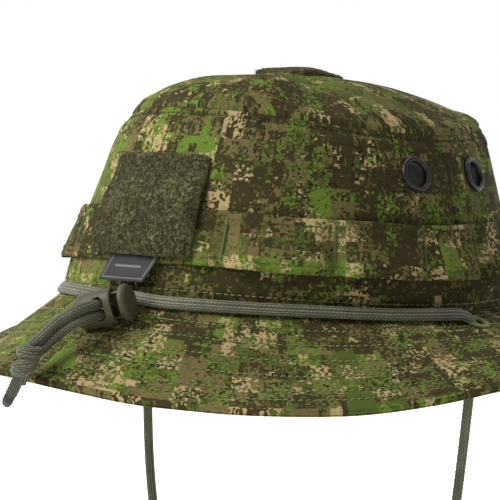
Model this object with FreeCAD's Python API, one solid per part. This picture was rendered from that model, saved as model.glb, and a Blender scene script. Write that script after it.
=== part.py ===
import FreeCAD, Part
import math
import os

# Boonie hat. Millimetres. Origin at the centre of the head opening, +Z up,
# the forehead at -Y, the rear of the hat at +Y, the wearer's right at -X.
# Angles run round the hat in degrees: 0 is the rear, 90 the wearer's right.

os.makedirs("parts", exist_ok=True)
Vector = FreeCAD.Vector

# Crown
BASE_HALF_LENGTH = 104.0
BASE_HALF_WIDTH = 88.0
BASE_SADDLE = 2.8
TOP_HALF_LENGTH = 80.5
TOP_HALF_WIDTH = 68.5
TOP_FORWARD = 6.0
TOP_HEIGHT = 73.5
TOP_SADDLE = 4.6
WALL_BULGE = 4.5
BULGE_LESS_AHEAD = 0.85
TIP_RISE = 18.0
SAG = 5.0
SAG_ANGLE = 130.0
CLOTH = 1.2
CLOTH_GAP = 0.3
SIDE_SEAM_GAP = 0.25
TIP_GAP = 0.15

# Brim
BRIM_WIDTH = 58.0
BRIM_DROOP = 32.0
DROOP_ENDS = 6.0
DROOP_CORNERS = 6.0
BRIM_CLOTH = 1.0
STIFFENER = 0.8
LAYER_GAP = 0.1
HEM = 5.0

# Band, patches and labels
BAND_BOTTOM = 14.5
BAND_WIDTH = 21.5
BAND_STAND_OFF = 1.2
BAND_THICKNESS = 1.4
BARTACK_ANGLES = (26.5, 53.0, 77.0, 95.5, 128.0, 232.0, 264.5, 283.0, 307.0, 333.5)
BARTACK_WIDTH = 1.6
BARTACK_GAP = 0.05
BARTACK_THICKNESS = 0.45
PATCH_WIDTH = 43.5
PATCH_CENTRE = -3.5
PATCH_LEAN = 0.112
PATCH_BOTTOM = 17.0
PATCH_TOP = 57.0
PATCH_THICKNESS = 1.9
TOP_PATCH_HALF = 14.0
TOP_PATCH_CENTRE = (3.0, 2.6)
PATCH_GAP = 0.4
PATCH_ON_WALL = 0.5
PATCH_EASE = 14.0
LABEL_WIDTH = 22.0
LABEL_CENTRE = -5.0
LABEL_LEAN = 0.4
LABEL_BOTTOM = 6.5
LABEL_TOP = 24.0
LABEL_THICKNESS = 0.5
LABEL_GAP = 0.15
SWEATBAND_LOW = 1.0
SWEATBAND_WIDTH = 30.0
SWEATBAND_THICKNESS = 1.6
TAPE_WIDTH = 5.5
TAPE_THICKNESS = 0.8
TAPE_BELOW_TOP = 3.0
SIDE_TAPE_TURN = 4.0
SIDE_TAPE_GAP = 2.0
SIZE_LABEL_HALF = 15.0
SIZE_LABEL_SPAN = (9.0, 24.0)
SIZE_LABEL_THICKNESS = 0.4

# Eyelets
EYELET_RISE = 55.5
EYELET_ANGLE = 13.0
EYELET_OUTER = 7.3
EYELET_HOLE = 6.0
FLANGE_FACE = 1.1
FLANGE_HALF = 0.5
BARREL_OUTER = 5.85
BARREL_BORE = 5.3
BARREL_BACK = 0.9
BARREL_HALF = 1.7
WASHER_OUTER = 6.7
WASHER_BACK = 2.2
WASHER_HALF = 0.35
MESH_RADIUS = 5.15
MESH_BACK = 0.2
MESH_HALF = 0.2

# Cord and its holes in the brim
CORD = 4.0
CORD_HOLE_ANGLES = (("right", 88.0), ("left", -96.0))
CORD_HOLE_OUT = 10.0
CORD_HOLE = 3.8
STITCHING_INNER = 4.4
STITCHING_WIDTH = 1.5
STITCHING_HALF = 0.2

# Cord lock, along its own axes: X to the button, -Y to the tail, Z upwards
LOCK_CENTRE = Vector(-9.2, 124.6, -0.3)
LOCK_AXIS = Vector(-0.885, -0.385, 0.262)
LOCK_FACING = Vector(-0.4087, 0.9118, -0.0406)
LOCK_HALF_DEPTH = 5.6
LOCK_HALF_HEIGHT = 7.2
LOCK_LEFT = -11.0
LOCK_MOUTH = 5.5
BORE_END = -9.2
BORE_HALF_DEPTH = 3.9
BORE_HALF_HEIGHT = 5.6
CHANNEL = 2.5
CHANNEL_HALF_HEIGHT = 4.5
PLUNGER_END = -3.8
PLUNGER_CLEARANCE = 0.2
SLOT_START = -2.5
SLOT_END = 7.9
HEAD_START = 9.2
HEAD_TOP = 13.0
HEAD_RADIUS = 7.3
SPRING_RADIUS = 2.6
SPRING_WIRE = 0.5
SPRING_TURNS = 4

# Knot and cord ends
KNOT_CENTRE = Vector(-1.9, 157.2, -19.9)
KNOT_AXIS = Vector(0.28, 0.14, -0.95)
KNOT_HALF_LENGTH = 7.4
KNOT_RADIUS = 4.4
END_DIRECTION = Vector(0.489, 0.053, -0.87)
END_SPREAD = Vector(-0.52, 0.818, -0.245)
END_START = 4.5
END_REACHES = (16.8, 18.8)

# Cord routes, from the cord lock outwards, and down to the chin loop
REAR_RIGHT = [
    (-8.7, 124.9, 1.7),
    (-4.9, 116.8, 3.3),
    (-8.8, 111.6, 4.2),
    (-21.9, 109.0, 2.5),
    (-39.1, 101.3, 1.9),
    (-55.8, 88.9, 1.2),
    (-71.3, 71.8, 0.4),
    (-83.9, 51.6, -0.7),
    (-93.5, 28.9, -1.3),
    (-98.9, 4.8, -1.3),
    (-97.4, 3.6, -10.6),
]
REAR_LEFT = [
    (-9.7, 124.3, -2.3),
    (-5.9, 115.9, -0.6),
    (4.5, 109.2, 3.5),
    (19.4, 106.1, 4.5),
    (37.9, 99.0, 3.6),
    (56.0, 86.4, 2.4),
    (71.1, 69.5, 1.3),
    (83.3, 47.3, 0.4),
    (90.2, 24.3, 0.0),
    (93.4, 5.0, 0.1),
    (98.3, -11.3, -1.5),
    (96.9, -12.0, -10.8),
]
CHIN_LOOP = [
    (-97.3, 3.7, -11.0),
    (-96.8, 4.0, -24.0),
    (-94.6, 4.2, -48.0),
    (-90.0, 4.0, -86.0),
    (-82.5, 3.2, -124.0),
    (-69.0, 2.0, -160.0),
    (-46.5, 0.4, -190.0),
    (-16.5, -2.0, -207.0),
    (16.5, -4.5, -207.5),
    (47.0, -7.0, -191.0),
    (70.5, -9.0, -161.0),
    (86.0, -10.4, -125.0),
    (94.0, -11.2, -88.0),
    (96.8, -11.6, -52.0),
    (97.2, -11.9, -28.0),
    (96.9, -12.0, -11.2),
]
TAIL_UPPER = [
    (-8.9, 125.3, 1.6),
    (-11.6, 131.3, 1.4),
    (-9.3, 138.8, -0.3),
    (-4.9, 144.3, -4.9),
    (-1.8, 150.2, -11.0),
    (-1.1, 154.1, -13.9),
]
TAIL_LOWER = [
    (-9.9, 124.7, -2.4),
    (-12.5, 130.7, -2.6),
    (-10.4, 138.2, -4.2),
    (-5.9, 143.7, -8.8),
    (-2.8, 149.6, -14.8),
    (-2.1, 153.5, -17.8),
]


# Surfaces of the hat

def base_normal(angle):
    """The outward horizontal normal of the crown's base seam."""
    turn = math.radians(angle)
    normal = Vector(
        -math.sin(turn) * BASE_HALF_LENGTH, math.cos(turn) * BASE_HALF_WIDTH, 0
    )
    return normal.normalize()


def base_point(angle):
    """A point on the seam between crown and brim."""
    turn = math.radians(angle)
    return Vector(
        -BASE_HALF_WIDTH * math.sin(turn),
        BASE_HALF_LENGTH * math.cos(turn),
        BASE_SADDLE * math.cos(2 * turn),
    )


def top_point(angle):
    """A point on the seam between the crown's wall and its tip."""
    turn = math.radians(angle)
    return Vector(
        -TOP_HALF_WIDTH * math.sin(turn),
        TOP_HALF_LENGTH * math.cos(turn) - TOP_FORWARD,
        TOP_HEIGHT + TOP_SADDLE * math.cos(2 * turn),
    )


def wall_height(angle):
    return top_point(angle).z - base_point(angle).z


def wall_point(angle, rise, offset):
    """A point on the crown's wall, rise above the base seam, offset outwards."""
    share = rise / wall_height(angle)
    ahead = ((1 - math.cos(math.radians(angle))) / 2) ** 2
    bulge = WALL_BULGE * (1 - (2 * share - 1) ** 4) * (1 - BULGE_LESS_AHEAD * ahead)
    point = base_point(angle) * (1 - share) + top_point(angle) * share
    return point + base_normal(angle) * (bulge + offset)


def wall_angle(across, rise):
    """The angle at which the rear wall is this far to the wearer's left."""
    share = rise / TOP_HEIGHT
    half_width = BASE_HALF_WIDTH * (1 - share) + TOP_HALF_WIDTH * share
    return -math.degrees(math.asin(across / half_width))


def tip_point(angle, reach, offset):
    """A point on the crown's tip: reach 0 is its centre and 1 its seam."""
    turn = math.radians(angle)
    lift = TOP_SADDLE * math.cos(2 * turn) * reach**2
    share = (1 + math.cos(turn - math.radians(SAG_ANGLE))) / 2
    sag = SAG * share**2 * 4 * reach**2 * (1 - reach**2)
    return Vector(
        -TOP_HALF_WIDTH * reach * math.sin(turn),
        TOP_HALF_LENGTH * reach * math.cos(turn) - TOP_FORWARD,
        TOP_HEIGHT + lift + TIP_RISE * (1 - reach**4) - sag + offset,
    )


def brim_axes(angle):
    """The brim's outward direction and its upward normal."""
    turn = math.radians(angle)
    droop = BRIM_DROOP + DROOP_ENDS * math.cos(2 * turn)
    droop = math.radians(droop - DROOP_CORNERS * math.cos(4 * turn))
    out = base_normal(angle)
    up = Vector(0, 0, 1)
    outward = out * math.cos(droop) - up * math.sin(droop)
    normal = out * math.sin(droop) + up * math.cos(droop)
    return outward, normal


def brim_point(angle, out, offset):
    """A point of the brim, out from the base seam and offset above its middle."""
    outward, normal = brim_axes(angle)
    return base_point(angle) + outward * out + normal * offset


# Ways to make a solid

def steps(start, end, count):
    return [start + (end - start) * i / (count - 1) for i in range(count)]


def ring(point, count=48):
    """A closed smooth curve round the hat through point(angle)."""
    curve = Part.BSplineCurve()
    points = [point(360.0 * i / count) for i in range(count)]
    curve.interpolate(Points=points, PeriodicFlag=True)
    return Part.Wire([curve.toShape()])


def ring_solid(points):
    """A solid ring whose section has its corners at the given point functions."""
    shell = Part.makeLoft([ring(point) for point in points], False, True, True)
    return Part.makeSolid(Part.Shell(shell.Faces))


def slab(point, across, along, inner, outer, columns=9, rows=7):
    """A curved sheet between two offsets of the surface point(u, v, offset)."""
    skins = []
    for offset in (inner, outer):
        surface = Part.BSplineSurface()
        grid = [
            [point(u, v, offset) for v in steps(*along, rows)]
            for u in steps(*across, columns)
        ]
        surface.interpolate(grid)
        skins.append(surface.toShape())
    pairs = zip(skins[0].Edges, skins[1].Edges)
    sides = [Part.makeRuledSurface(low, high) for low, high in pairs]
    shell = Part.makeShell(skins + sides)
    shell.sewShape()
    return as_solid(shell)


def as_solid(shell):
    solid = Part.Solid(shell if shell.ShapeType == "Shell" else shell.Shells[0])
    if solid.Volume < 0:
        solid.reverse()
    return solid


def cylinder(centre, direction, radius, half_length):
    start = centre - direction * half_length
    return Part.makeCylinder(radius, 2 * half_length, start, direction)


def ring_plate(centre, direction, outer, inner, half_length):
    plate = cylinder(centre, direction, outer, half_length)
    return plate.cut(cylinder(centre, direction, inner, 2 * half_length))


def bend(before, corner, after):
    """The arc that rounds one corner of a cord's route, and its radius."""
    first = corner - before
    second = after - corner
    turn = first.getAngle(second)
    cut = 0.45 * min(first.Length, second.Length)
    start = corner - first.normalize() * cut
    end = corner + second.normalize() * cut
    radius = cut / math.tan(turn / 2)
    inward = (start + end - corner * 2).normalize()
    middle = corner + inward * (radius / math.cos(turn / 2) - radius)
    return start, middle, end, radius


def cord(name, route):
    """A round cord along straight runs joined by tangent arcs."""
    points = [Vector(*p) for p in route]
    edges = []
    radii = []
    here = points[0]
    for before, corner, after in zip(points, points[1:], points[2:]):
        start, middle, end, radius = bend(before, corner, after)
        edges.append(Part.LineSegment(here, start).toShape())
        edges.append(Part.Arc(start, middle, end).toShape())
        radii.append(radius)
        here = end
    edges.append(Part.LineSegment(here, points[-1]).toShape())
    path = Part.Wire(edges)
    section = Part.Circle(points[0], points[1] - points[0], CORD / 2).toShape()
    tube = path.makePipeShell([Part.Wire([section])], True, False)
    expected = math.pi * (CORD / 2) ** 2 * path.Length
    print(name, "length", round(path.Length, 1), "volume ratio", round(tube.Volume / expected, 4))
    print("  radii", [round(r, 1) for r in radii])
    return tube


def save(name, *solids):
    shape = solids[0] if len(solids) == 1 else Part.makeCompound(list(solids))
    for solid in solids:
        if not solid.isValid() or solid.Volume <= 0:
            print("bad solid in", name, solid.isValid(), solid.Volume)
    shape.exportStep("parts/" + name + ".step")


# Crown

def eyelet_angles():
    return [
        side + step for side in (90.0, 270.0) for step in (-EYELET_ANGLE, EYELET_ANGLE)
    ]


def eyelet_place(angle):
    """The centre of an eyelet on the wall, and the wall's normal there."""
    centre = wall_point(angle, EYELET_RISE, 0)
    round_hat = wall_point(angle + 1, EYELET_RISE, 0) - wall_point(angle - 1, EYELET_RISE, 0)
    upwards = wall_point(angle, EYELET_RISE + 1, 0) - wall_point(angle, EYELET_RISE - 1, 0)
    return centre, upwards.cross(round_hat).normalize() * -1


def cut_eyelet_holes(panel):
    for angle in eyelet_angles():
        centre, normal = eyelet_place(angle)
        panel = panel.cut(cylinder(centre, normal, EYELET_HOLE, 6.0))
    return panel.Solids[0]


def wall_panel(start, end):
    """Half of the crown's wall, from one side seam to the other."""

    def point(angle, share, offset):
        return wall_point(angle, share * wall_height(angle), offset)

    across = (start + SIDE_SEAM_GAP, end - SIDE_SEAM_GAP)
    return slab(point, across, (0.012, 1.0), -CLOTH, 0.0, columns=25, rows=11)


def crown_tip():
    reaches = (0.3, 0.55, 0.75, 0.88, 0.95, 1.0)
    lower = TIP_GAP
    upper = lower + CLOTH
    sections = [Part.Vertex(tip_point(0, 0, upper))]
    sections += [ring(lambda a, r=r: tip_point(a, r, upper)) for r in reaches]
    sections += [ring(lambda a, r=r: tip_point(a, r, lower)) for r in reversed(reaches)]
    sections.append(Part.Vertex(tip_point(0, 0, lower)))
    return Part.makeLoft(sections, True, True)


def wall_ring(bottom, top, inner, outer, levels=4):
    """A band round the crown's wall between two heights above the base seam."""
    up = [(rise, inner) for rise in steps(bottom, top, levels)]
    down = [(rise, outer) for rise in steps(top, bottom, levels)]
    corners = [lambda a, c=c: wall_point(a, *c) for c in up + down]
    return ring_solid(corners)


def make_crown():
    save("crown_front_panel", cut_eyelet_holes(wall_panel(90.0, 270.0)))
    save("crown_rear_panel", cut_eyelet_holes(wall_panel(-90.0, 90.0)))
    save("crown_top_panel", crown_tip())
    lining_face = -CLOTH - CLOTH_GAP
    tape_top = min(wall_height(0), wall_height(90)) - TAPE_BELOW_TOP
    tape_bottom = tape_top - TAPE_WIDTH
    tape_inner = lining_face - TAPE_THICKNESS
    save("top_seam_tape", wall_ring(tape_bottom, tape_top, tape_inner, lining_face))
    band_inner = lining_face - SWEATBAND_THICKNESS
    save("sweatband", wall_ring(SWEATBAND_LOW, SWEATBAND_WIDTH, band_inner, lining_face, 5))
    span = (SWEATBAND_WIDTH + SIDE_TAPE_GAP, tape_bottom - SIDE_TAPE_GAP)
    tapes = [
        slab(wall_point, (side - SIDE_TAPE_TURN, side + SIDE_TAPE_TURN), span, tape_inner, lining_face)
        for side in (90.0, 270.0)
    ]
    save("side_seam_tapes", *tapes)


# Brim

def brim_layer(inside, outside, low, high):
    corners = [(inside, low), (outside, low), (outside, high), (inside, high)]
    layer = ring_solid([lambda a, c=c: brim_point(a, *c) for c in corners])
    for _, angle in CORD_HOLE_ANGLES:
        centre = brim_point(angle, CORD_HOLE_OUT, 0)
        layer = layer.cut(cylinder(centre, brim_axes(angle)[1], CORD_HOLE, 5.0))
    return layer.Solids[0]


def make_brim():
    inner_face = STIFFENER / 2 + LAYER_GAP
    outer_face = inner_face + BRIM_CLOTH
    save("brim_upper", brim_layer(0.5, BRIM_WIDTH, inner_face, outer_face))
    save("brim_lower", brim_layer(0.5, BRIM_WIDTH, -outer_face, -inner_face))
    half = STIFFENER / 2
    save("brim_stiffener", brim_layer(1.5, BRIM_WIDTH - HEM, -half, half))
    for name, angle in CORD_HOLE_ANGLES:
        normal = brim_axes(angle)[1]
        centre = brim_point(angle, CORD_HOLE_OUT, outer_face + STITCHING_HALF + 0.05)
        outer = STITCHING_INNER + STITCHING_WIDTH
        stitching = ring_plate(centre, normal, outer, STITCHING_INNER, STITCHING_HALF)
        save("cord_hole_stitching_" + name, stitching)


# Band, patches and labels

def pile_offset(rise):
    """How far the rear patch stands off the wall: over the band, then down to it."""
    over_band = BAND_STAND_OFF + BAND_THICKNESS + LABEL_THICKNESS + PATCH_GAP
    clear = BAND_BOTTOM + BAND_WIDTH + 1.0
    share = min(max((rise - clear) / PATCH_EASE, 0.0), 1.0)
    ease = share * share * (3 - 2 * share)
    return over_band + (PATCH_ON_WALL - over_band) * ease


def rear_patch_point(across, rise, offset):
    middle = PATCH_CENTRE + PATCH_LEAN * (rise - (PATCH_BOTTOM + PATCH_TOP) / 2)
    return wall_point(wall_angle(middle + across, rise), rise, pile_offset(rise) + offset)


def label_point(across, rise, offset):
    middle = LABEL_CENTRE + LABEL_LEAN * (PATCH_BOTTOM - rise)
    return wall_point(wall_angle(middle + across, rise), rise, offset)


def size_label_point(across, rise, offset):
    return wall_point(wall_angle(across, rise), rise, offset)


def top_patch_point(x, y, offset):
    reach_x = (x + TOP_PATCH_CENTRE[0]) / TOP_HALF_WIDTH
    reach_y = (y + TOP_PATCH_CENTRE[1]) / TOP_HALF_LENGTH
    reach = math.hypot(reach_x, reach_y)
    angle = math.degrees(math.atan2(-reach_x, reach_y))
    return tip_point(angle, reach, offset)


def make_trim():
    top = BAND_BOTTOM + BAND_WIDTH
    outer = BAND_STAND_OFF + BAND_THICKNESS
    save("foliage_band", wall_ring(BAND_BOTTOM, top, BAND_STAND_OFF, outer, 3))
    bartacks = []
    for angle in BARTACK_ANGLES:
        half = math.degrees(BARTACK_WIDTH / 2 / BASE_HALF_LENGTH)
        span = (BAND_BOTTOM + 1.0, top - 1.0)
        across = (angle - half, angle + half)
        face = outer + BARTACK_GAP
        bartacks.append(slab(wall_point, across, span, face, face + BARTACK_THICKNESS, 3, 5))
    save("band_bartacks", *bartacks)
    half_width = PATCH_WIDTH / 2
    across = (-half_width, half_width)
    span = (PATCH_BOTTOM, PATCH_TOP)
    save("rear_loop_patch", slab(rear_patch_point, across, span, 0.0, PATCH_THICKNESS, 11, 13))
    label_span = (LABEL_BOTTOM, LABEL_TOP)
    label_across = (-LABEL_WIDTH / 2, LABEL_WIDTH / 2)
    low = outer + LABEL_GAP
    save("woven_label", slab(label_point, label_across, label_span, low, low + LABEL_THICKNESS))
    inside = -CLOTH - CLOTH_GAP - SWEATBAND_THICKNESS - 0.2
    across = (-SIZE_LABEL_HALF, SIZE_LABEL_HALF)
    thick = SIZE_LABEL_THICKNESS
    save("size_label", slab(size_label_point, across, SIZE_LABEL_SPAN, inside - thick, inside))
    half = TOP_PATCH_HALF
    low = TIP_GAP + CLOTH + PATCH_GAP
    patch = slab(top_patch_point, (-half, half), (-half, half), low, low + PATCH_THICKNESS)
    save("top_loop_patch", patch)


# Eyelets

def make_eyelets():
    names = ("right_rear", "right_front", "left_front", "left_rear")
    washers = []
    meshes = []
    for name, angle in zip(names, eyelet_angles()):
        centre, normal = eyelet_place(angle)
        front = centre + normal * FLANGE_FACE
        flange = ring_plate(front, normal, EYELET_OUTER, BARREL_BORE, FLANGE_HALF)
        middle = centre - normal * BARREL_BACK
        barrel = ring_plate(middle, normal, BARREL_OUTER, BARREL_BORE, BARREL_HALF)
        save("eyelet_" + name, flange.fuse(barrel))
        back = centre - normal * WASHER_BACK
        washers.append(ring_plate(back, normal, WASHER_OUTER, EYELET_HOLE, WASHER_HALF))
        meshes.append(cylinder(centre - normal * MESH_BACK, normal, MESH_RADIUS, MESH_HALF))
    save("eyelet_washers", *washers)
    save("eyelet_meshes", *meshes)


# Cord lock

def lock_frame():
    """Placement of the cord lock's own axes in the hat."""
    x_axis = Vector(LOCK_AXIS).normalize()
    z_axis = LOCK_FACING.cross(x_axis).normalize()
    rotation = FreeCAD.Rotation(x_axis, z_axis.cross(x_axis), z_axis, "XYZ")
    return FreeCAD.Placement(LOCK_CENTRE, rotation)


def ellipse_wire(x, half_depth, half_height):
    """An ellipse across the lock's X axis."""
    matrix = FreeCAD.Matrix()
    matrix.A22 = half_depth
    matrix.A33 = half_height
    circle = Part.Circle(Vector(0, 0, 0), Vector(1, 0, 0), 1.0).toShape()
    wire = Part.Wire([circle.transformGeometry(matrix).Edges[0]])
    wire.translate(Vector(x, 0, 0))
    return wire


def obround_x(start, end, half_depth, half_height):
    """A flat-sided rod along X with round edges at its top and bottom."""
    flat = half_height - half_depth
    rod = Part.makeBox(end - start, 2 * half_depth, 2 * flat, Vector(start, -half_depth, -flat))
    for z in (-flat, flat):
        rod = rod.fuse(Part.makeCylinder(half_depth, end - start, Vector(start, 0, z), Vector(1, 0, 0)))
    return rod.removeSplitter()


def cord_channel():
    """The hole that the two strands pass through, across the lock along Y."""
    depth = 2 * LOCK_HALF_DEPTH + 4
    flat = CHANNEL_HALF_HEIGHT - CHANNEL
    start = Vector(-CHANNEL, -depth / 2, -flat)
    hole = Part.makeBox(2 * CHANNEL, depth, 2 * flat, start)
    for z in (-flat, flat):
        hole = hole.fuse(Part.makeCylinder(CHANNEL, depth, Vector(0, -depth / 2, z), Vector(0, 1, 0)))
    return hole.removeSplitter()


def lock_body():
    stations = (
        (LOCK_LEFT, 0.5),
        (LOCK_LEFT + 1.0, 0.78),
        (LOCK_LEFT + 3.0, 0.93),
        (LOCK_LEFT + 6.5, 1.0),
        (LOCK_MOUTH - 3.0, 1.0),
        (LOCK_MOUTH, 0.97),
    )
    wires = [ellipse_wire(x, LOCK_HALF_DEPTH * k, LOCK_HALF_HEIGHT * k) for x, k in stations]
    body = Part.makeLoft(wires, True, False)
    body = body.cut(obround_x(BORE_END, LOCK_MOUTH + 2, BORE_HALF_DEPTH, BORE_HALF_HEIGHT))
    return body.cut(cord_channel()).Solids[0]


def lock_button():
    rod = obround_x(
        PLUNGER_END,
        HEAD_START + 0.5,
        BORE_HALF_DEPTH - PLUNGER_CLEARANCE,
        BORE_HALF_HEIGHT - PLUNGER_CLEARANCE,
    )
    height = 2 * (CHANNEL_HALF_HEIGHT - 0.05)
    slot = Part.makeBox(
        SLOT_END - SLOT_START, 20, height, Vector(SLOT_START, -10, -height / 2)
    )
    stations = (
        (HEAD_START, 0.93),
        (HEAD_START + 0.6, 1.0),
        (HEAD_START + 1.8, 1.0),
        (HEAD_START + 2.8, 0.9),
        (HEAD_START + 3.4, 0.7),
        (HEAD_TOP, 0.42),
    )
    wires = [ellipse_wire(x, HEAD_RADIUS * k, HEAD_RADIUS * k) for x, k in stations]
    head = Part.makeLoft(wires, True, False)
    return rod.cut(slot).fuse(head).Solids[0]


def lock_spring():
    start = BORE_END + SPRING_WIRE
    length = PLUNGER_END - BORE_END - 2 * SPRING_WIRE
    helix = Part.makeHelix(length / SPRING_TURNS, length, SPRING_RADIUS)
    section = Part.Circle(Vector(SPRING_RADIUS, 0, 0), Vector(0, 1, 0), SPRING_WIRE / 2)
    wire = Part.Wire([section.toShape()])
    spring = Part.Wire(helix).makePipeShell([wire], True, True)
    spring.rotate(Vector(0, 0, 0), Vector(0, 1, 0), 90)
    spring.translate(Vector(start, 0, 0))
    return spring


def placed(shape, placement):
    copy = shape.copy()
    copy.Placement = placement.multiply(copy.Placement)
    return copy


def make_cord_lock():
    frame = lock_frame()
    save("cord_lock_body", placed(lock_body(), frame))
    save("cord_lock_button", placed(lock_button(), frame))
    save("cord_lock_spring", placed(lock_spring(), frame))
    print("button axis", frame.Rotation.multVec(Vector(1, 0, 0)))


# Cord

def knot():
    """A thick oval knot in line with the tail strands."""
    matrix = FreeCAD.Matrix()
    matrix.A11 = KNOT_RADIUS
    matrix.A22 = KNOT_RADIUS
    matrix.A33 = KNOT_HALF_LENGTH
    ball = Part.makeSphere(1.0).transformGeometry(matrix)
    turn = FreeCAD.Rotation(Vector(0, 0, 1), KNOT_AXIS)
    return placed(ball, FreeCAD.Placement(KNOT_CENTRE, turn))


def cord_ends():
    """The two melted ends, side by side under the knot."""
    direction = Vector(END_DIRECTION).normalize()
    spread = Vector(END_SPREAD).normalize() * (CORD / 2 + 0.1)
    ends = []
    for side, reach in zip((-1, 1), END_REACHES):
        start = KNOT_CENTRE + direction * END_START + spread * side
        ends.append(Part.makeCylinder(CORD / 2, reach - END_START, start, direction))
    return ends


def make_cords():
    save("rear_cord_right", cord("rear_cord_right", REAR_RIGHT))
    save("rear_cord_left", cord("rear_cord_left", REAR_LEFT))
    save("chin_cord", cord("chin_cord", CHIN_LOOP))
    save("cord_tail_upper", cord("cord_tail_upper", TAIL_UPPER))
    save("cord_tail_lower", cord("cord_tail_lower", TAIL_LOWER))
    save("tail_knot", knot())
    right_end, left_end = cord_ends()
    save("cord_end_right", right_end)
    save("cord_end_left", left_end)


make_crown()
make_brim()
make_trim()
make_eyelets()
make_cord_lock()
make_cords()
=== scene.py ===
import itertools
import math

import bmesh
import bpy
import numpy as np
from mathutils import Matrix, Vector


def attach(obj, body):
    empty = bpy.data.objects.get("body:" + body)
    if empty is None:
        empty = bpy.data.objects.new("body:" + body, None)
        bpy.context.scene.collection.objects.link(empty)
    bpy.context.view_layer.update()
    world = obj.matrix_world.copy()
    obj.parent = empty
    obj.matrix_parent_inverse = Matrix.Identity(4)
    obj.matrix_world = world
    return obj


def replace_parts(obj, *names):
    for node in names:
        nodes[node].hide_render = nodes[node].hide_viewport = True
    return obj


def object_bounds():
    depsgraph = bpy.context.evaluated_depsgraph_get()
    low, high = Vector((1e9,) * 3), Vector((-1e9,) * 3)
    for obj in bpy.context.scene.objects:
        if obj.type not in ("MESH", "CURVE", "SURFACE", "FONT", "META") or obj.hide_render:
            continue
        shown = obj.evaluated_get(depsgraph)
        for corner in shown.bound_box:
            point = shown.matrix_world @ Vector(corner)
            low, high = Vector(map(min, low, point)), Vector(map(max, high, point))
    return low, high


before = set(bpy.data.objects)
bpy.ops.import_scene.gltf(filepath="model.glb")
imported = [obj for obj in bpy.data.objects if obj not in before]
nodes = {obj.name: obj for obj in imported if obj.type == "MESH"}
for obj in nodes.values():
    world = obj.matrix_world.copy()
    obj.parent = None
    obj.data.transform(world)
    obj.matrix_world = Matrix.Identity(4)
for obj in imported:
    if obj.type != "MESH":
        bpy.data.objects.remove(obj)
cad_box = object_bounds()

MM = 0.001
BODY = "hat"

# Sizes shared with the CAD, in millimetres. Angles run round the hat in
# degrees: 0 is the rear, 90 the wearer's right.
BASE_HALF_LENGTH = 104.0
BASE_HALF_WIDTH = 88.0
BASE_SADDLE = 2.8
TOP_HALF_LENGTH = 80.5
TOP_HALF_WIDTH = 68.5
TOP_FORWARD = 6.0
TOP_HEIGHT = 73.5
TOP_SADDLE = 4.6
WALL_BULGE = 4.5
BULGE_LESS_AHEAD = 0.85
TIP_RISE = 18.0
SAG = 5.0
SAG_ANGLE = 130.0
BRIM_WIDTH = 58.0
BAND_BOTTOM = 14.5
BAND_TOP = 36.0
TIP_SURFACE = 1.35
EYELET_RISE = 55.5
EYELET_ANGLES = (77.0, 103.0, 257.0, 283.0)
SIDE_SEAMS = (90.0, 270.0)
BARTACKS = (26.5, 53.0, 77.0, 95.5, 128.0, 232.0, 264.5, 283.0, 307.0, 333.5)


# Arc lengths round the hat, in millimetres for each degree
WALL_ARC = 1.62
SIDE_SEAM_ARC = 1.45
EYELET_ARC = 1.35
BAND_ARC = 1.66
BRIM_ARC = 2.35

# Stitched rows: millimetres above the brim, below the crown's top edge, in
# from the tip's edge and in from the band's edges
BOTTOM_ROW = 4.4
TOP_ROW = 2.4
TIP_ROW = 2.6
BAND_ROW = 3.2
TIP_MEAN_RADIUS = 75.0

# Cord routes. The left rear cord lies a little further in than its CAD solid.
REAR_RIGHT = [
    (-8.7, 124.9, 1.7), (-4.9, 116.8, 3.3), (-8.8, 111.6, 4.2), (-21.9, 109.0, 2.5),
    (-39.1, 101.3, 1.9), (-55.8, 88.9, 1.2), (-71.3, 71.8, 0.4), (-83.9, 51.6, -0.7),
    (-93.5, 28.9, -1.3), (-98.9, 4.8, -1.3), (-97.4, 3.6, -10.6),
]
REAR_LEFT = [
    (-9.7, 124.3, -2.3), (-5.9, 115.9, -0.6), (4.5, 109.2, 3.5), (20.4, 106.2, 3.9),
    (36.9, 97.6, 3.9), (54.5, 85.2, 2.8), (70.0, 68.6, 1.7), (83.3, 47.3, 0.4),
    (90.2, 24.3, 0.0), (93.4, 5.0, 0.1), (98.3, -11.3, -1.5), (96.9, -12.0, -10.8),
]
CHIN_LOOP = [
    (-97.3, 3.7, -11.0), (-96.8, 4.0, -24.0), (-94.6, 4.2, -48.0), (-90.0, 4.0, -86.0),
    (-82.5, 3.2, -124.0), (-69.0, 2.0, -160.0), (-46.5, 0.4, -190.0), (-16.5, -2.0, -207.0),
    (16.5, -4.5, -207.5), (47.0, -7.0, -191.0), (70.5, -9.0, -161.0), (86.0, -10.4, -125.0),
    (94.0, -11.2, -88.0), (96.8, -11.6, -52.0), (97.2, -11.9, -28.0), (96.9, -12.0, -11.2),
]
TAIL_UPPER = [
    (-8.9, 125.3, 1.6), (-11.6, 131.3, 1.4), (-9.3, 138.8, -0.3),
    (-4.9, 144.3, -4.9), (-1.8, 150.2, -11.0), (-1.1, 154.1, -13.9),
]
TAIL_LOWER = [
    (-9.9, 124.7, -2.4), (-12.5, 130.7, -2.6), (-10.4, 138.2, -4.2),
    (-5.9, 143.7, -8.8), (-2.8, 149.6, -14.8), (-2.1, 153.5, -17.8),
]


# Vector helpers

def vec(x, y, z):
    x, y, z = np.broadcast_arrays(x, y, z)
    return np.stack([x, y, z], axis=-1).astype(float)


def unit(v):
    return v / np.maximum(np.linalg.norm(v, axis=-1, keepdims=True), 1e-9)


def col(a):
    return np.asarray(a, dtype=float)[..., None]


def smooth(x, low, high):
    """0 below low, 1 above high, eased between."""
    s = np.clip((np.asarray(x, dtype=float) - low) / (high - low), 0, 1)
    return s * s * (3 - 2 * s)


def bump(x, centre, width):
    return np.exp(-(((np.asarray(x, dtype=float) - centre) / width) ** 2))


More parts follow.
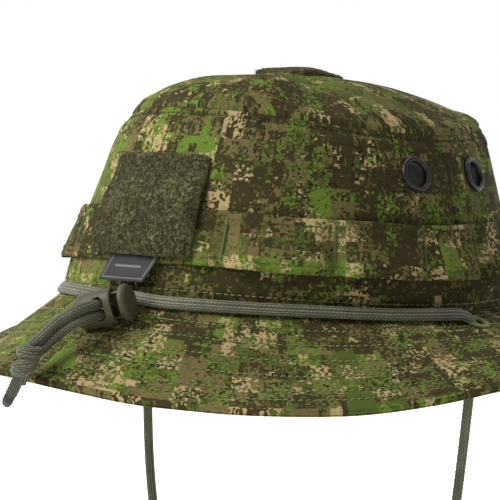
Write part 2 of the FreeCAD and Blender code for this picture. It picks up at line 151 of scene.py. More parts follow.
def wrapped(angle):
    """The same angle, between -180 and 180 degrees."""
    return (angle + 180) % 360 - 180


def hashed(cell, seed):
    x, y, z = (cell[..., i].astype(np.int64) for i in range(3))
    h = x * 73856093 ^ y * 19349663 ^ z * 83492791 ^ np.int64(seed * 2654435761 % 2**31)
    h = (h ^ (h >> 13)) * 1274126177
    h = h ^ (h >> 16)
    return (h & 0xFFFFFF) / float(0xFFFFFF)


def noise(points, size, seed=1):
    """Smooth noise from -1 to 1 whose features are about size millimetres."""
    p = np.asarray(points, dtype=float) / size
    cell = np.floor(p)
    f = p - cell
    f = f * f * (3 - 2 * f)
    total = np.zeros(p.shape[:-1])
    for corner in itertools.product((0, 1), repeat=3):
        weight = np.ones(p.shape[:-1])
        for i, c in enumerate(corner):
            weight = weight * (f[..., i] if c else 1 - f[..., i])
        total += weight * hashed(cell + np.array(corner), seed)
    return total * 2 - 1


# Surfaces of the hat, the same as in the CAD

def base_normal(t):
    r = np.radians(t)
    return unit(vec(-np.sin(r) * BASE_HALF_LENGTH, np.cos(r) * BASE_HALF_WIDTH, 0))


def base(t):
    r = np.radians(t)
    return vec(-BASE_HALF_WIDTH * np.sin(r), BASE_HALF_LENGTH * np.cos(r), BASE_SADDLE * np.cos(2 * r))


def top(t):
    r = np.radians(t)
    return vec(
        -TOP_HALF_WIDTH * np.sin(r),
        TOP_HALF_LENGTH * np.cos(r) - TOP_FORWARD,
        TOP_HEIGHT + TOP_SADDLE * np.cos(2 * r),
    )


def wall_height(t):
    return top(t)[..., 2] - base(t)[..., 2]


def wall(t, rise, off):
    share = rise / wall_height(t)
    ahead = ((1 - np.cos(np.radians(t))) / 2) ** 2
    bulge = WALL_BULGE * (1 - (2 * share - 1) ** 4) * (1 - BULGE_LESS_AHEAD * ahead)
    return base(t) * col(1 - share) + top(t) * col(share) + base_normal(t) * col(bulge + off)


def wall_angle(across, rise):
    share = np.asarray(rise, dtype=float) / TOP_HEIGHT
    half = BASE_HALF_WIDTH * (1 - share) + TOP_HALF_WIDTH * share
    return -np.degrees(np.arcsin(across / half))


def tip(t, reach, off):
    r = np.radians(t)
    lift = TOP_SADDLE * np.cos(2 * r) * reach**2
    share = (1 + np.cos(r - math.radians(SAG_ANGLE))) / 2
    sag = SAG * share**2 * 4 * reach**2 * (1 - reach**2)
    return vec(
        -TOP_HALF_WIDTH * reach * np.sin(r),
        TOP_HALF_LENGTH * reach * np.cos(r) - TOP_FORWARD,
        TOP_HEIGHT + lift + TIP_RISE * (1 - reach**4) - sag + off,
    )


def brim_axes(t):
    r = np.radians(t)
    droop = np.radians(32 + 6 * np.cos(2 * r) - 6 * np.cos(4 * r))
    out = base_normal(t)
    up = vec(0, 0, np.ones_like(r))
    return (
        out * col(np.cos(droop)) - up * col(np.sin(droop)),
        out * col(np.sin(droop)) + up * col(np.cos(droop)),
    )


def brim(t, out, off):
    outward, normal = brim_axes(t)
    return base(t) + outward * col(out) + normal * col(off)


# Mesh helpers

def mesh_object(name, verts, faces, uvs, material):
    """A mesh in millimetres, with one UV pair in millimetres for each face corner."""
    mesh = bpy.data.meshes.new(name)
    mesh.from_pydata((np.asarray(verts) * MM).tolist(), [], [list(f) for f in faces])
    if uvs is not None:
        layer = mesh.uv_layers.new(name="UVMap")
        layer.data.foreach_set("uv", np.asarray(uvs, dtype=np.float32).ravel())
    mesh.shade_smooth()
    obj = bpy.data.objects.new(name, mesh)
    bpy.context.collection.objects.link(obj)
    mesh.materials.append(material)
    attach(obj, BODY)
    return obj


def dress(obj, material):
    obj.data.materials.clear()
    obj.data.materials.append(material)


def outward_check(obj):
    """Makes a closed mesh's faces look outwards."""
    bm = bmesh.new()
    bm.from_mesh(obj.data)
    bmesh.ops.recalc_face_normals(bm, faces=bm.faces)
    bm.to_mesh(obj.data)
    bm.free()
    return obj


def grid_faces(rows, cols, wrap=False, start=0, flip=False):
    """Quads over a rows x cols block of vertices."""
    i, j = np.meshgrid(np.arange(rows - 1), np.arange(cols if wrap else cols - 1), indexing="ij")
    here, there = i * cols, (i + 1) * cols
    after = (j + 1) % cols
    quads = np.stack([here + j, here + after, there + after, there + j], axis=-1).reshape(-1, 4) + start
    return quads[:, ::-1] if flip else quads


def grid_uvs(u, v, flip=False):
    """UVs of the quads of a block from its (rows, cols) coordinate arrays."""
    pair = np.stack([u, v], axis=-1)
    quads = np.stack([pair[:-1, :-1], pair[:-1, 1:], pair[1:, 1:], pair[1:, :-1]], axis=2)
    quads = quads.reshape(-1, 4, 2)
    return quads[:, ::-1] if flip else quads


def ring_grid(levels, cols):
    """Angles and levels round the hat, first without and then with a closing column."""
    angles = np.linspace(0, 360, cols + 1)
    return *np.meshgrid(angles[:-1], levels), *np.meshgrid(angles, levels)


def cloth(name, outer, inner, u, v, material, wrap=False):
    """A closed sheet from its outer and inner (rows, cols, 3) faces.

    u and v have one more column than a wrapped face has.
    """
    rows, cols = outer.shape[:2]
    n = rows * cols
    verts = np.concatenate([outer.reshape(-1, 3), inner.reshape(-1, 3)])
    faces = [grid_faces(rows, cols, wrap), grid_faces(rows, cols, wrap, n, True)]
    uvs = [grid_uvs(u, v), grid_uvs(u, v, True)]
    pair = np.stack([u, v], axis=-1)
    row = np.arange(cols + wrap) % cols
    rims = [(row, pair[0], False), (row + (rows - 1) * cols, pair[-1], True)]
    if not wrap:
        column = np.arange(rows) * cols
        rims += [(column, pair[:, 0], True), (column + cols - 1, pair[:, -1], False)]
    for rim, place, turn in rims:
        quad = np.stack([rim[:-1], rim[:-1] + n, rim[1:] + n, rim[1:]], axis=-1)
        uv = np.stack([place[:-1], place[:-1], place[1:], place[1:]], axis=1)
        faces.append(quad[:, ::-1] if turn else quad)
        uvs.append(uv[:, ::-1] if turn else uv)
    return outward_check(mesh_object(name, verts, np.concatenate(faces), np.concatenate(uvs), material))


def rest_on(obj, node, flat, pieces=()):
    """Puts the cloth, and pieces fixed to it, in place of a CAD sheet."""
    for piece in (obj, *pieces):
        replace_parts(piece, node)
    list(pieces)


def stored(items, key):
    """One vector of each of a mesh's items, in millimetres."""
    values = np.empty(len(items) * 3)
    items.foreach_get(key, values)
    return values.reshape(-1, 3) / MM


def from_axis(points, centre, normal):
    """Heights along the normal from the centre, and ways out from that axis."""
    d = points - centre
    high = d @ normal
    return high, d - high[:, None] * normal


def open_round(obj, places, radius):
    """Opens round holes through a two-sided sheet and closes their walls."""
    reach = 4.0
    mesh = obj.data
    verts = stored(mesh.vertices, "co")
    middles = stored(mesh.polygons, "center")
    gone = set()
    for centre, normal in places:
        high, flat = from_axis(verts, centre, normal)
        size = np.linalg.norm(flat, axis=1)
        near = (np.abs(high) < reach) & (size < radius + 1.0) & (size > radius * 0.72)
        pushed = flat * (np.maximum(size, radius) / np.maximum(size, 1e-6))[:, None]
        verts[near] = (centre + high[:, None] * normal + pushed)[near]
        high, flat = from_axis(middles, centre, normal)
        inside = np.linalg.norm(flat, axis=1) < radius * 0.92
        gone.update(np.nonzero((np.abs(high) < reach) & inside)[0].tolist())
    mesh.vertices.foreach_set("co", (verts * MM).ravel())
    bm = bmesh.new()
    bm.from_mesh(mesh)
    bm.faces.ensure_lookup_table()
    bmesh.ops.delete(bm, geom=[bm.faces[i] for i in gone], context="FACES")
    rims = [edge for edge in bm.edges if edge.is_boundary]
    for centre, _ in places:
        middle = Vector(centre * MM)
        hole = [edge for edge in rims if (edge.verts[0].co - middle).length < 2 * radius * MM]
        bmesh.ops.bridge_loops(bm, edges=hole)
    bm.to_mesh(mesh)
    bm.free()
    return outward_check(obj)


def arc_length(points):
    return np.concatenate([[0], np.cumsum(np.linalg.norm(np.diff(points, axis=0), axis=1))])


def along(points, distances):
    """Points at the given distances along a line of points."""
    s = arc_length(points)
    return np.stack([np.interp(distances, s, points[:, i]) for i in range(points.shape[1])], axis=-1)


def tubes(centres, sides, normals, widths, heights, around=6):
    """Many short tubes: centres is (tubes, rings, 3). Gives verts and faces."""
    count, rings = centres.shape[:2]
    a = np.arange(around) * 2 * np.pi / around
    offset = (
        sides[:, :, None] * (widths[..., None] * np.cos(a))[..., None]
        + normals[:, :, None] * (heights[..., None] * np.sin(a))[..., None]
    )
    verts = (centres[:, :, None] + offset).reshape(-1, 3)
    block = grid_faces(rings, around, True)
    step = rings * around
    quads = (block[None] + (np.arange(count) * step)[:, None, None]).reshape(-1, 4).tolist()
    for start in range(0, count * step, step):
        quads.append(list(range(start + around - 1, start - 1, -1)))
        quads.append(list(range(start + step - around, start + step)))
    return verts, quads


def strands(name, centres, facing, radius, around, material):
    """Round threads along centres, which is (threads, rings, 3)."""
    tangent = unit(np.gradient(centres, axis=1))
    side = unit(np.cross(tangent, facing))
    size = np.full(centres.shape[:2], radius)
    verts, faces = tubes(centres, side, np.cross(side, tangent), size, size, around)
    return mesh_object(name, verts, faces, None, material)


def stitches(name, rows, material, pitch=2.8, length=2.1, thread=0.5):
    """Lockstitch rows: each row is (points, normals) over the cloth's surface."""
    k = np.array([-0.5, -0.36, -0.12, 0.12, 0.36, 0.5])
    lift = np.array([-0.35, 0.05, 0.2, 0.2, 0.05, -0.35]) * thread / 0.5
    full = np.array([0.7, 1.0, 1.0, 1.0, 1.0, 0.7]) * thread / 2
    all_verts, all_faces, start = [], [], 0
    for points, normals in rows:
        s = arc_length(points)
        count = max(int(s[-1] / pitch), 1)
        first = (np.arange(count) + 0.5) * (s[-1] / count)
        where = first[:, None] + k[None] * length
        centre = along(points, where.clip(0, s[-1]).ravel()).reshape(count, len(k), 3)
        normal = unit(np.stack([np.interp(where, s, normals[:, i]) for i in range(3)], axis=-1))
        side = unit(np.cross(unit(np.gradient(centre, axis=1)), normal))
        centre = centre + normal * lift[None, :, None]
        size = np.broadcast_to(full, (count, len(k)))
        verts, faces = tubes(centre, side, normal, size * 1.1, size * 0.9)
        all_verts.append(verts)
        all_faces += [[i + start for i in f] for f in faces]
        start += len(verts)
    return mesh_object(name, np.concatenate(all_verts), all_faces, None, material)


# Materials

def linear(r, g, b):
    def one(c):
        c /= 255
        return c / 12.92 if c <= 0.04045 else ((c + 0.055) / 1.055) ** 2.4
    return (one(r), one(g), one(b), 1)


class Nodes:
    """Builds a material's nodes in short lines. Each value is a socket or a constant."""

    def __init__(self, name, roughness, specular):
        self.material = bpy.data.materials.new(name)
        self.material.use_nodes = True
        self.tree = self.material.node_tree
        self.shader = self.tree.nodes["Principled BSDF"]
        self.set("Roughness", roughness)
        self.set("Specular IOR Level", specular)

    def put(self, socket, value):
        if hasattr(value, "links"):
            self.tree.links.new(value, socket)
        else:
            socket.default_value = value

    def set(self, key, value):
        self.put(self.shader.inputs[key], value)

    def add(self, kind, inputs=None, **settings):
        node = self.tree.nodes.new("ShaderNode" + kind)
        for key, value in settings.items():
            setattr(node, key, value)
        for key, value in (inputs or {}).items():
            self.put(node.inputs[key], value)
        return node

    def math(self, operation, a, b=0.0, c=0.0):
        return self.add("Math", {0: a, 1: b, 2: c}, operation=operation).outputs[0]

    def times(self, a, b):
        return self.math("MULTIPLY", a, b)

    def plus(self, a, b):
        return self.math("ADD", a, b)

    def times_plus(self, a, b, c):
        return self.math("MULTIPLY_ADD", a, b, c)

    def above(self, value, limit):
        return self.math("GREATER_THAN", value, limit)

    def below(self, value, limit):
        return self.math("LESS_THAN", value, limit)

    def waves(self, value, pitch):
        return self.math("SINE", self.times(value, 2 * math.pi / pitch))

    def vmath(self, operation, a, b):
        return self.add("VectorMath", {0: a, 1: b}, operation=operation).outputs[0]

    def scaled(self, vector, scale):
        return self.add("VectorMath", {0: vector, "Scale": scale}, operation="SCALE").outputs[0]

    def uv(self):
        return self.add("UVMap", uv_map="UVMap").outputs[0]

    def position(self):
        """The place on the object in millimetres."""
        return self.scaled(self.add("TexCoord").outputs["Object"], 1 / MM)

    def axes(self, vector):
        return self.add("SeparateXYZ", {0: vector}).outputs

    def noise(self, vector, scale, detail=2.0, roughness=0.5):
        inputs = {"Vector": vector, "Scale": scale, "Detail": detail, "Roughness": roughness}
        return self.add("TexNoise", inputs).outputs[0]

    def ramp(self, value, stops, interpolation="LINEAR"):
        node = self.add("ValToRGB", {"Fac": value})
        ramp = node.color_ramp
        ramp.interpolation = interpolation
        ramp.elements[0].position, ramp.elements[0].color = stops[0][0], linear(*stops[0][1])
        ramp.elements[1].position, ramp.elements[1].color = stops[-1][0], linear(*stops[-1][1])
        for place, colour in stops[1:-1]:
            ramp.elements.new(place).color = linear(*colour)
        return node.outputs[0]

    def mix(self, factor, a, b, kind="MIX"):
        inputs = {0: factor, 6: a, 7: b}
        return self.add("Mix", inputs, data_type="RGBA", blend_type=kind, clamp_factor=True).outputs[2]

    def remap(self, value, low, high, new_low, new_high):
        return self.add("MapRange", {0: value, 1: low, 2: high, 3: new_low, 4: new_high}).outputs[0]

    def span(self, noise, low, high):
        """Noise's usual range, spread from low to high."""
        return self.remap(noise, 0.3, 0.7, low, high)

    def two_tone(self, noise, first, second):
        return self.mix(self.span(noise, 0.0, 1.0), first, second)

    def colour(self, value):
        self.set("Base Color", value)

    def bump(self, height, strength, distance_mm):
        node = self.add("Bump", {"Height": height, "Strength": strength, "Distance": distance_mm * MM})
        self.set("Normal", node.outputs[0])


GREEN = (95, 117, 44)
MID_GREEN = (76, 88, 36)
DARK = (60, 52, 31)
DEEP = (40, 35, 22)
BROWN = (106, 95, 59)
TAN = (165, 146, 103)

# Printed colours over the ground, in order: seed, size in millimetres of the
# large blocks, their share of the field, limit, colour, and how much more of
# it is painted on the crown's lit side (less, when negative): painted light and painted shade.
PRINT_LAYERS = (
    (3, 22.0, 0.66, 0.560, GREEN, 0.5),
    (2, 30.0, 0.68, 0.470, DARK, -1.0),
    (7, 17.0, 0.60, 0.612, GREEN, 0.6),
    (4, 16.0, 0.60, 0.585, BROWN, 0.4),
    (5, 14.0, 0.58, 0.628, TAN, 0.5),
)


def camo(name, shift=(0.0, 0.0), painted_light_span=None):
    """Ripstop cotton printed with a generic pattern of ragged blocks and dots.

    A span along U, where given, holds the places where the print is brightest and darkest: painted light and
    painted shade across the crown, more pale print before it and more dark print past it.
    """
    n = Nodes(name, 0.9, 0.08)
    base_uv = n.uv()
    uv = n.vmath("ADD", base_uv, (*shift, 0.0))
    ragged = n.add("TexNoise", {"Vector": uv, "Scale": 0.6, "Detail": 2.0}).outputs[1]
    ragged = n.scaled(n.vmath("SUBTRACT", ragged, (0.5, 0.5, 0.5)), 1.7)
    wear_and_shade = n.vmath("ADD", uv, ragged)
    dots = n.vmath("SNAP", wear_and_shade, (1.15, 1.0, 1.1))
    small = n.vmath("SNAP", wear_and_shade, (4.2, 3.6, 4.0))
    large = n.vmath("SNAP", wear_and_shade, (10.5, 8.0, 9.0))
    dither = n.remap(n.noise(n.vmath("ADD", large, (91.0, 17.0, 5.0)), 0.035, 1.0), 0.42, 0.62, 0.05, 0.24)

    def layer(seed, large_size, large_share):
        """A field of one printed colour, with straight sides and, in places, dots."""
        move = (seed * 37.0, seed * 71.0, seed * 13.0)
        big = n.noise(n.vmath("ADD", large, move), 1.0 / large_size, 0.0)
        middle = n.noise(n.vmath("ADD", small, move), 0.12, 0.0)
        fine = n.math("SUBTRACT", n.noise(n.vmath("ADD", dots, move), 0.5, 0.0), 0.5)
        total = n.times_plus(middle, 1 - large_share, n.times(big, large_share))
        return n.times_plus(fine, dither, total)

    ground = [(0.0, MID_GREEN), (0.47, BROWN), (0.525, MID_GREEN), (0.60, DARK)]
    colour = n.ramp(layer(1, 26.0, 0.66), ground, "CONSTANT")
    # Painted light and shade: the print leans pale on the crown's lit side and dark on its shaded side.
    if painted_light_span:
        painted_light_bias = n.remap(n.axes(base_uv)[0], *painted_light_span, 0.055, -0.08)
    for seed, size, share, limit, printed, painted_light_lean in PRINT_LAYERS:
        field = layer(seed, size, share)
        if painted_light_span:
            field = n.times_plus(painted_light_bias, painted_light_lean, field)
        colour = n.mix(n.above(field, limit), colour, linear(*printed))
    speck = n.noise(n.vmath("ADD", dots, (11.0, 87.0, 41.0)), 0.55, 0.0)
    speck = n.times(n.above(speck, 0.66), n.above(dither, 0.2))
    colour = n.mix(speck, colour, linear(*DEEP))
    green_speck = n.noise(n.vmath("ADD", dots, (53.0, 7.0, 61.0)), 0.6, 0.0)
    colour = n.mix(n.above(green_speck, 0.68), colour, linear(*MID_GREEN))

    soft = n.noise(uv, 0.9, 3.0, 0.7)
    tone = n.noise(uv, 0.02, 2.0)
    shade = n.times(n.span(soft, 0.72, 1.22), n.span(tone, 0.9, 1.1))
    across, up_cloth, _ = n.axes(uv)
    rip_pitch, rip_width = 6.4, 0.3
    lines = [n.math("FRACT", n.math("DIVIDE", axis, rip_pitch)) for axis in (across, up_cloth)]
    rip = n.math("MAXIMUM", *[n.below(line, rip_width / rip_pitch) for line in lines])
    shade = n.times(shade, n.remap(rip, 0.0, 1.0, 1.0, 1.08))
    grey = n.add("CombineXYZ", {0: shade, 1: shade, 2: shade}).outputs[0]
    n.colour(n.mix(1.0, colour, grey, "MULTIPLY"))
    weave = n.times(n.waves(across, 0.6), n.waves(up_cloth, 0.6))
    height = n.times_plus(rip, 0.8, n.times(weave, 0.3))
    n.bump(n.times_plus(soft, 0.9, height), 0.5, 0.14)
    n.set("Roughness", n.span(soft, 0.78, 0.95))
    return n.material


def shaded(colour, share):
    return tuple(c * share for c in colour[:3]) + (1,)


def plain_cloth(name, colour, pitch=0.8):
    n = Nodes(name, 0.9, 0.2)
    p = n.position()
    soft = n.noise(p, 0.8, 3.0, 0.7)
    n.colour(n.two_tone(soft, shaded(colour, 0.72), colour))
    x, y, z = [n.waves(axis, pitch) for axis in n.axes(p)]
    weave = n.plus(n.times(x, y), n.times(z, x))
    n.bump(n.times_plus(soft, 1.2, weave), 0.5, 0.12)
    return n.material


def braided(name, roughness, specular):
    """A braid's nodes, its flecks and its painted light: pale flecks on yarns, rib crests painted pale and
    the gaps between yarns painted dark as painted shade.
    """
    n = Nodes(name, roughness, specular)
    fleck = n.noise(n.position(), 2.2, 2.0, 0.7)
    n.bump(fleck, 0.4, 0.1)
    return n, fleck, n.times_plus(fleck, 0.55, n.times(n.axes(n.uv())[1], 0.62))


def cord_material(name, wear_and_shade=0.0):
    """Grey-olive braided nylon. A positive setting darkens the whole cord: painted shade, for the knot and
    tails.
    """
    n, fleck, light = braided(name, 0.55, 0.45)
    n.set("Sheen Weight", 0.15)
    light = n.plus(light, n.span(n.noise(n.position(), 0.12, 2.0), -0.06 - wear_and_shade, 0.06 - wear_and_shade))
    stops = [(0.25, (26, 25, 17)), (0.50, (56, 55, 40)), (0.74, (89, 89, 66)), (1.0, (150, 150, 120))]
    n.colour(n.ramp(light, stops))
    n.set("Roughness", n.span(fleck, 0.5, 0.7))
    return n.material


def singed_material():
    """Nylon braid whose melted tip is hard and nearly black."""
    n, fleck, light = braided("singed_nylon", 0.42, 0.5)
    braid_colour = n.ramp(light, [(0.25, (16, 16, 10)), (0.55, (42, 42, 29)), (0.98, (82, 82, 62))])
    along_cord = n.plus(n.axes(n.uv())[0], n.span(fleck, -0.6, 0.6))
    burnt = n.remap(along_cord, 9.6, 10.6, 0.0, 1.0)
    tip = n.remap(along_cord, 12.2, 13.2, 0.0, 0.7)
    colour = n.mix(burnt, braid_colour, linear(12, 11, 9))
    n.colour(n.mix(tip, colour, linear(62, 61, 45)))
    return n.material


def thread_material(name, colour, dark):
    n = Nodes(name, 0.6, 0.35)
    p = n.position()
    value = n.plus(n.times(n.noise(p, 1.4, 2.0, 0.6), 0.6), n.times(n.noise(p, 0.05, 1.0), 0.5))
    n.colour(n.mix(n.remap(value, 0.35, 0.75, 0.0, 1.0), linear(*dark), linear(*colour)))
    n.bump(n.noise(p, 4.0, 1.0), 0.4, 0.08)
    return n.material


def tag_cloth(name, half, bottom, high):
    """Charcoal satin weave with a paler woven frame and a few plain bars."""
    n = Nodes(name + "_weave", 0.62, 0.3)
    uv = n.uv()
    u, v, _ = n.axes(uv)
    tall = (high - bottom) / 2
    side = n.math("ABSOLUTE", u)
    level = n.math("ABSOLUTE", n.math("SUBTRACT", v, (bottom + high) / 2))
    near = n.math("MINIMUM", n.math("SUBTRACT", half, side), n.math("SUBTRACT", tall, level))
    border = n.times(n.above(near, 1.1), n.below(near, 1.55))
    bars = n.below(n.math("ABSOLUTE", n.math("SUBTRACT", level, tall * 0.32)), 0.45)
    marks = n.math("MAXIMUM", border, n.times(n.below(side, half * 0.55), bars))
    yarn = n.noise(n.vmath("MULTIPLY", uv, (2.2, 9.0, 1.0)), 1.0, 3.0)
    marks = n.times(marks, n.remap(yarn, 0.3, 0.6, 0.35, 0.8))
    ground = n.two_tone(yarn, linear(26, 26, 28), linear(54, 54, 57))
    n.colour(n.mix(marks, ground, linear(132, 132, 124)))
    ridges = n.math("SINE", n.times(v, 14.0))
    n.bump(n.plus(n.times(ridges, 0.3), yarn), 0.5, 0.06)
    return n.material


def pile_material(name, painted_light=0.0):
    """Loop pile: fuzzy olive nylon. A positive setting makes it paler all over: painted light, for the top
    patch that faces the lamps.
    """
    n = Nodes(name, 0.85, 0.25)
    n.set("Sheen Weight", 0.1)
    n.set("Sheen Roughness", 0.4)
    p = n.position()
    coarse = n.noise(p, 0.75, 3.0, 0.7)
    fine = n.noise(p, 2.2, 2.0, 0.6)
    stops = ((0.36, (30, 28, 14)), (0.46, (60, 57, 31)), (0.55, (92, 89, 54)), (0.66, (138, 135, 92)))
    value = n.plus(n.times(coarse, 0.6), n.times(fine, 0.4))
    n.colour(n.ramp(value, [(place - painted_light, colour) for place, colour in stops]))
    n.bump(fine, 0.8, 0.4)
    return n.material


def plastic_material():
    """Moulded matt nylon with a fine spark-eroded grain and worn, paler high spots."""
    n = Nodes("moulded_nylon", 0.55, 0.35)
    p = n.position()
    grain = n.noise(p, 3.2, 2.0, 0.6)
    colour = n.two_tone(n.noise(p, 0.10, 3.0), linear(58, 55, 36), linear(68, 65, 44))
    n.colour(n.mix(n.span(grain, 0.0, 0.35), colour, linear(84, 81, 59)))
    n.set("Roughness", n.span(grain, 0.42, 0.6))
    n.bump(grain, 0.35, 0.06)
    return n.material


def metal_material(name, grey, roughness, metallic):
    n = Nodes(name, roughness, 0.5)
    n.set("Metallic", metallic)
    scratch = n.noise(n.vmath("MULTIPLY", n.position(), (0.4, 0.4, 3.0)), 1.2, 3.0)
    colour = linear(*grey)
    n.colour(n.mix(n.remap(scratch, 0.4, 0.7, 0.0, 1.0), colour, shaded(colour, 1.7)))
    n.set("Roughness", n.span(scratch, roughness - 0.06, roughness + 0.12))
    n.bump(scratch, 0.2, 0.04)
    return n.material


camo_cloth = camo("camo_crown", painted_light_span=(5.0, 50.0))
camo_top = camo("camo_top", (413.0, 157.0))
camo_band = camo("camo_band", (811.0, 340.0))
camo_brim = camo("camo_brim", (207.0, 640.0))
lining = plain_cloth("lining_poplin", linear(96, 100, 66))
sweat_cloth = plain_cloth("sweatband_twill", linear(78, 80, 54), 1.1)
interlining = plain_cloth("interlining_felt", linear(176, 172, 158))
stitch_thread = thread_material("stitch_thread", (140, 148, 92), (92, 102, 56))
tack_thread = thread_material("tack_thread", (112, 126, 66), (66, 76, 36))
dark_thread = thread_material("dark_thread", (66, 70, 40), (38, 40, 22))
cord_nylon = cord_material("braided_nylon")
# A darker copy of the braided nylon for the knot and tails: painted shade.
painted_shade_nylon = cord_material("painted_shade_nylon", 0.07)
pile = pile_material("loop_pile_nylon")
# A paler copy of the pile for the top patch, which faces up to the lamps: painted light.
painted_light_top_pile = pile_material("painted_light_pile_nylon", 0.05)
singed_cord = singed_material()
plastic = plastic_material()
gunmetal = metal_material("gunmetal", (52, 52, 54), 0.36, 0.85)
mesh_wire = metal_material("mesh_yarn", (30, 30, 30), 0.5, 0.2)
steel = metal_material("spring_wire", (150, 150, 150), 0.3, 1.0)


# Crown

def pucker(s, distance, reach, pitch, height, seed):
    """Little gathers beside a row of stitches: s runs along it, distance from it."""
    flat = np.stack([s / pitch, np.zeros_like(s), np.full_like(s, seed)], axis=-1)
    wave = np.sin(2 * np.pi * s / pitch + 2.5 * noise(flat, 2.2, seed))
    return height * wave * np.exp(-np.abs(distance) / reach)


def wall_relief(t, rise):
    """How far the crown's cloth stands off its even surface."""
    t = (t + 90.0) % 360.0 - 90.0
    p = wall(t, rise, 0)
    height = wall_height(t)
    s = t * 1.55
    total = 0.9 * noise(p, 38.0, 3) + 0.35 * noise(p, 13.0, 5)
    crease = noise(p * np.array([1.0, 1.0, 0.35]), 11.0, 8)
    total += 0.35 * np.maximum(crease, 0) ** 2
    total += pucker(s, rise - BOTTOM_ROW, 5.0, 7.5, 0.36, 11)
    total += pucker(s, height - rise - 5.0, 6.0, 8.5, 0.34, 13)
    total -= 0.4 * bump(rise, BOTTOM_ROW, 0.7)
    total += 0.45 * smooth(rise, height - 7.4, height - 6.6)
    total -= bump(rise, height - TOP_ROW, 0.65)
    total += 0.3 * (1 - smooth(rise, 5.6, 6.6))
    for side in SIDE_SEAMS:
        near = np.abs(wrapped(t - side) * SIDE_SEAM_ARC)
        total += 0.45 * (1 - smooth(near, 6.0, 7.4)) - 0.3 * bump(near, 2.0, 0.5)
        total += pucker(rise, near - 2.0, 4.0, 6.5, 0.25, 17)
        total -= 0.5 * bump(near, 0.0, 0.5)
    for angle in EYELET_ANGLES:
        gap = np.hypot(wrapped(t - angle) * EYELET_ARC, rise - EYELET_RISE)
        total = total * smooth(gap, 6.0, 11.0)
    return total * smooth(rise, 0.0, 2.0) * smooth(height - rise, 0.0, 2.0)


def eyelet_frame(angle):
    """An eyelet's centre, the ways round the hat and down it, and the way out."""
    centre = wall(angle, EYELET_RISE, 0.0)
    round_hat = wall(angle + 1, EYELET_RISE, 0.0) - wall(angle - 1, EYELET_RISE, 0.0)
    upwards = wall(angle, EYELET_RISE + 1, 0.0) - wall(angle, EYELET_RISE - 1, 0.0)
    normal = -unit(np.cross(upwards, round_hat))
    x = unit(round_hat)
    return centre, x, unit(np.cross(normal, x)), normal


def wall_panel(name, start, end):
    """One crown panel. Its rows are closer together under the top seam."""
    seam_gap = 0.12
    shares = np.concatenate([np.linspace(0.0, 0.9, 58)[:-1], np.linspace(0.9, 1.0, 18)])
    t, share = np.meshgrid(np.linspace(start + seam_gap, end - seam_gap, 261), shares)
    rise = share * wall_height(t)
    relief = wall_relief(t, rise)
    inner = wall(t, rise, -1.1 + 0.5 * relief.clip(-1, 0.5))
    obj = cloth(name + "_cloth", wall(t, rise, relief), inner, t * WALL_ARC, rise, camo_cloth)
    places = []
    for angle in EYELET_ANGLES:
        if start < angle < end or start < angle - 360 < end:
            centre, _, _, normal = eyelet_frame(angle)
            places.append((centre, normal))
    open_round(obj, places, 6.0)
    rest_on(obj, name, (0.31, 0.079))


def tip_relief(p, reach, t):
    total = noise(p, 34.0, 21) + 0.4 * noise(p, 14.0, 23)
    edge = (1 - reach) * TIP_MEAN_RADIUS
    total += pucker(t * 1.3, edge - 3.0, 7.0, 8.0, 0.34, 25)
    total += 0.5 * (1 - smooth(edge, 6.5, 7.5)) - 0.8 * bump(edge, TIP_ROW, 0.55)
    fold = p - np.array([-18.0, 34.0, 84.0])
    lean = fold @ unit(np.array([-0.80, -0.60, 0.0]))
    reach_on = fold @ unit(np.array([0.55, -0.80, 0.0]))
    total += 2.3 * bump(lean, 5.0 * np.sin(reach_on / 16.0), 7.0) * bump(reach_on, -6.0, 26.0)
    total -= 2.2 * bump(lean, 15.0, 9.0) * bump(reach_on, -4.0, 24.0)
    return total * smooth(edge, 0.5, 4.0)


def crown_top():
    reach = 1 - (1 - np.linspace(0.0, 1.0, 60)) ** 1.3
    reach[0] = 0.004
    t, r, tu, ru = ring_grid(reach, 360)
    relief = tip_relief(tip(t, r, 0), r, t) + 0.55 * smooth(r, 0.90, 0.97)
    turned = smooth(r, 0.985, 1.0)
    outer = tip(t, r, TIP_SURFACE + relief - 0.7 * turned)
    inner = tip(t, r, 0.3 + 0.5 * relief - 1.9 * turned)
    flat = tip(tu, ru, 0)
    obj = cloth("crown_top_cloth", outer, inner, flat[..., 0], flat[..., 1], camo_top, True)
    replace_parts(obj, "crown_top_panel")


wall_panel("crown_front_panel", 90.0, 270.0)
wall_panel("crown_rear_panel", -90.0, 90.0)
crown_top()


# Brim

BRIM_ROWS = (4.0, 12.5, 21.0, 29.5, 38.0, 46.0, 51.0)
BRIM_SURFACE = 1.45
BRIM_INSIDE = 0.48
CORD_HOLE_ANGLES = (88.0, -96.0)
CORD_HOLE_OUT = 10.0
CORD_HOLE = 3.6


def brim_even(t, out):
    """The gentle waves of the whole brim."""
    p = brim(t, out, 0)
    turn = wrapped(t)
    lift = 3.4 * bump(turn, -10.0, 12.0) - 2.0 * bump(turn, 14.0, 13.0) + 1.2 * bump(turn, 43.0, 12.0)
    lift += 1.6 * bump(turn, 118.0, 16.0) - 1.5 * bump(turn, 150.0, 14.0) + 1.8 * bump(turn, -75.0, 16.0)
    waves = 0.6 * noise(p, 60.0, 31) + 0.4 * noise(p, 24.0, 33)
    return waves * smooth(out, 4.0, 30.0) + lift * (out / BRIM_WIDTH) ** 2


def brim_quilt(t, out):
    """Grooves along the stitched rows, and the little gathers beside them."""
    total = np.zeros(np.shape(out))
    for row in BRIM_ROWS:
        total -= 0.38 * bump(out, row, 0.8)
        total += pucker(t * 2.1, out - row, 3.0, 6.0, 0.1, int(row * 10))
    total += 0.22 * smooth(out, 51.4, 52.2)
    return total * smooth(out, 0.0, 3.0)


def hole_place(angle):
    centre = brim(angle, CORD_HOLE_OUT, 0.0)
    outward, normal = brim_axes(angle)
    return centre, outward, np.cross(normal, outward), normal


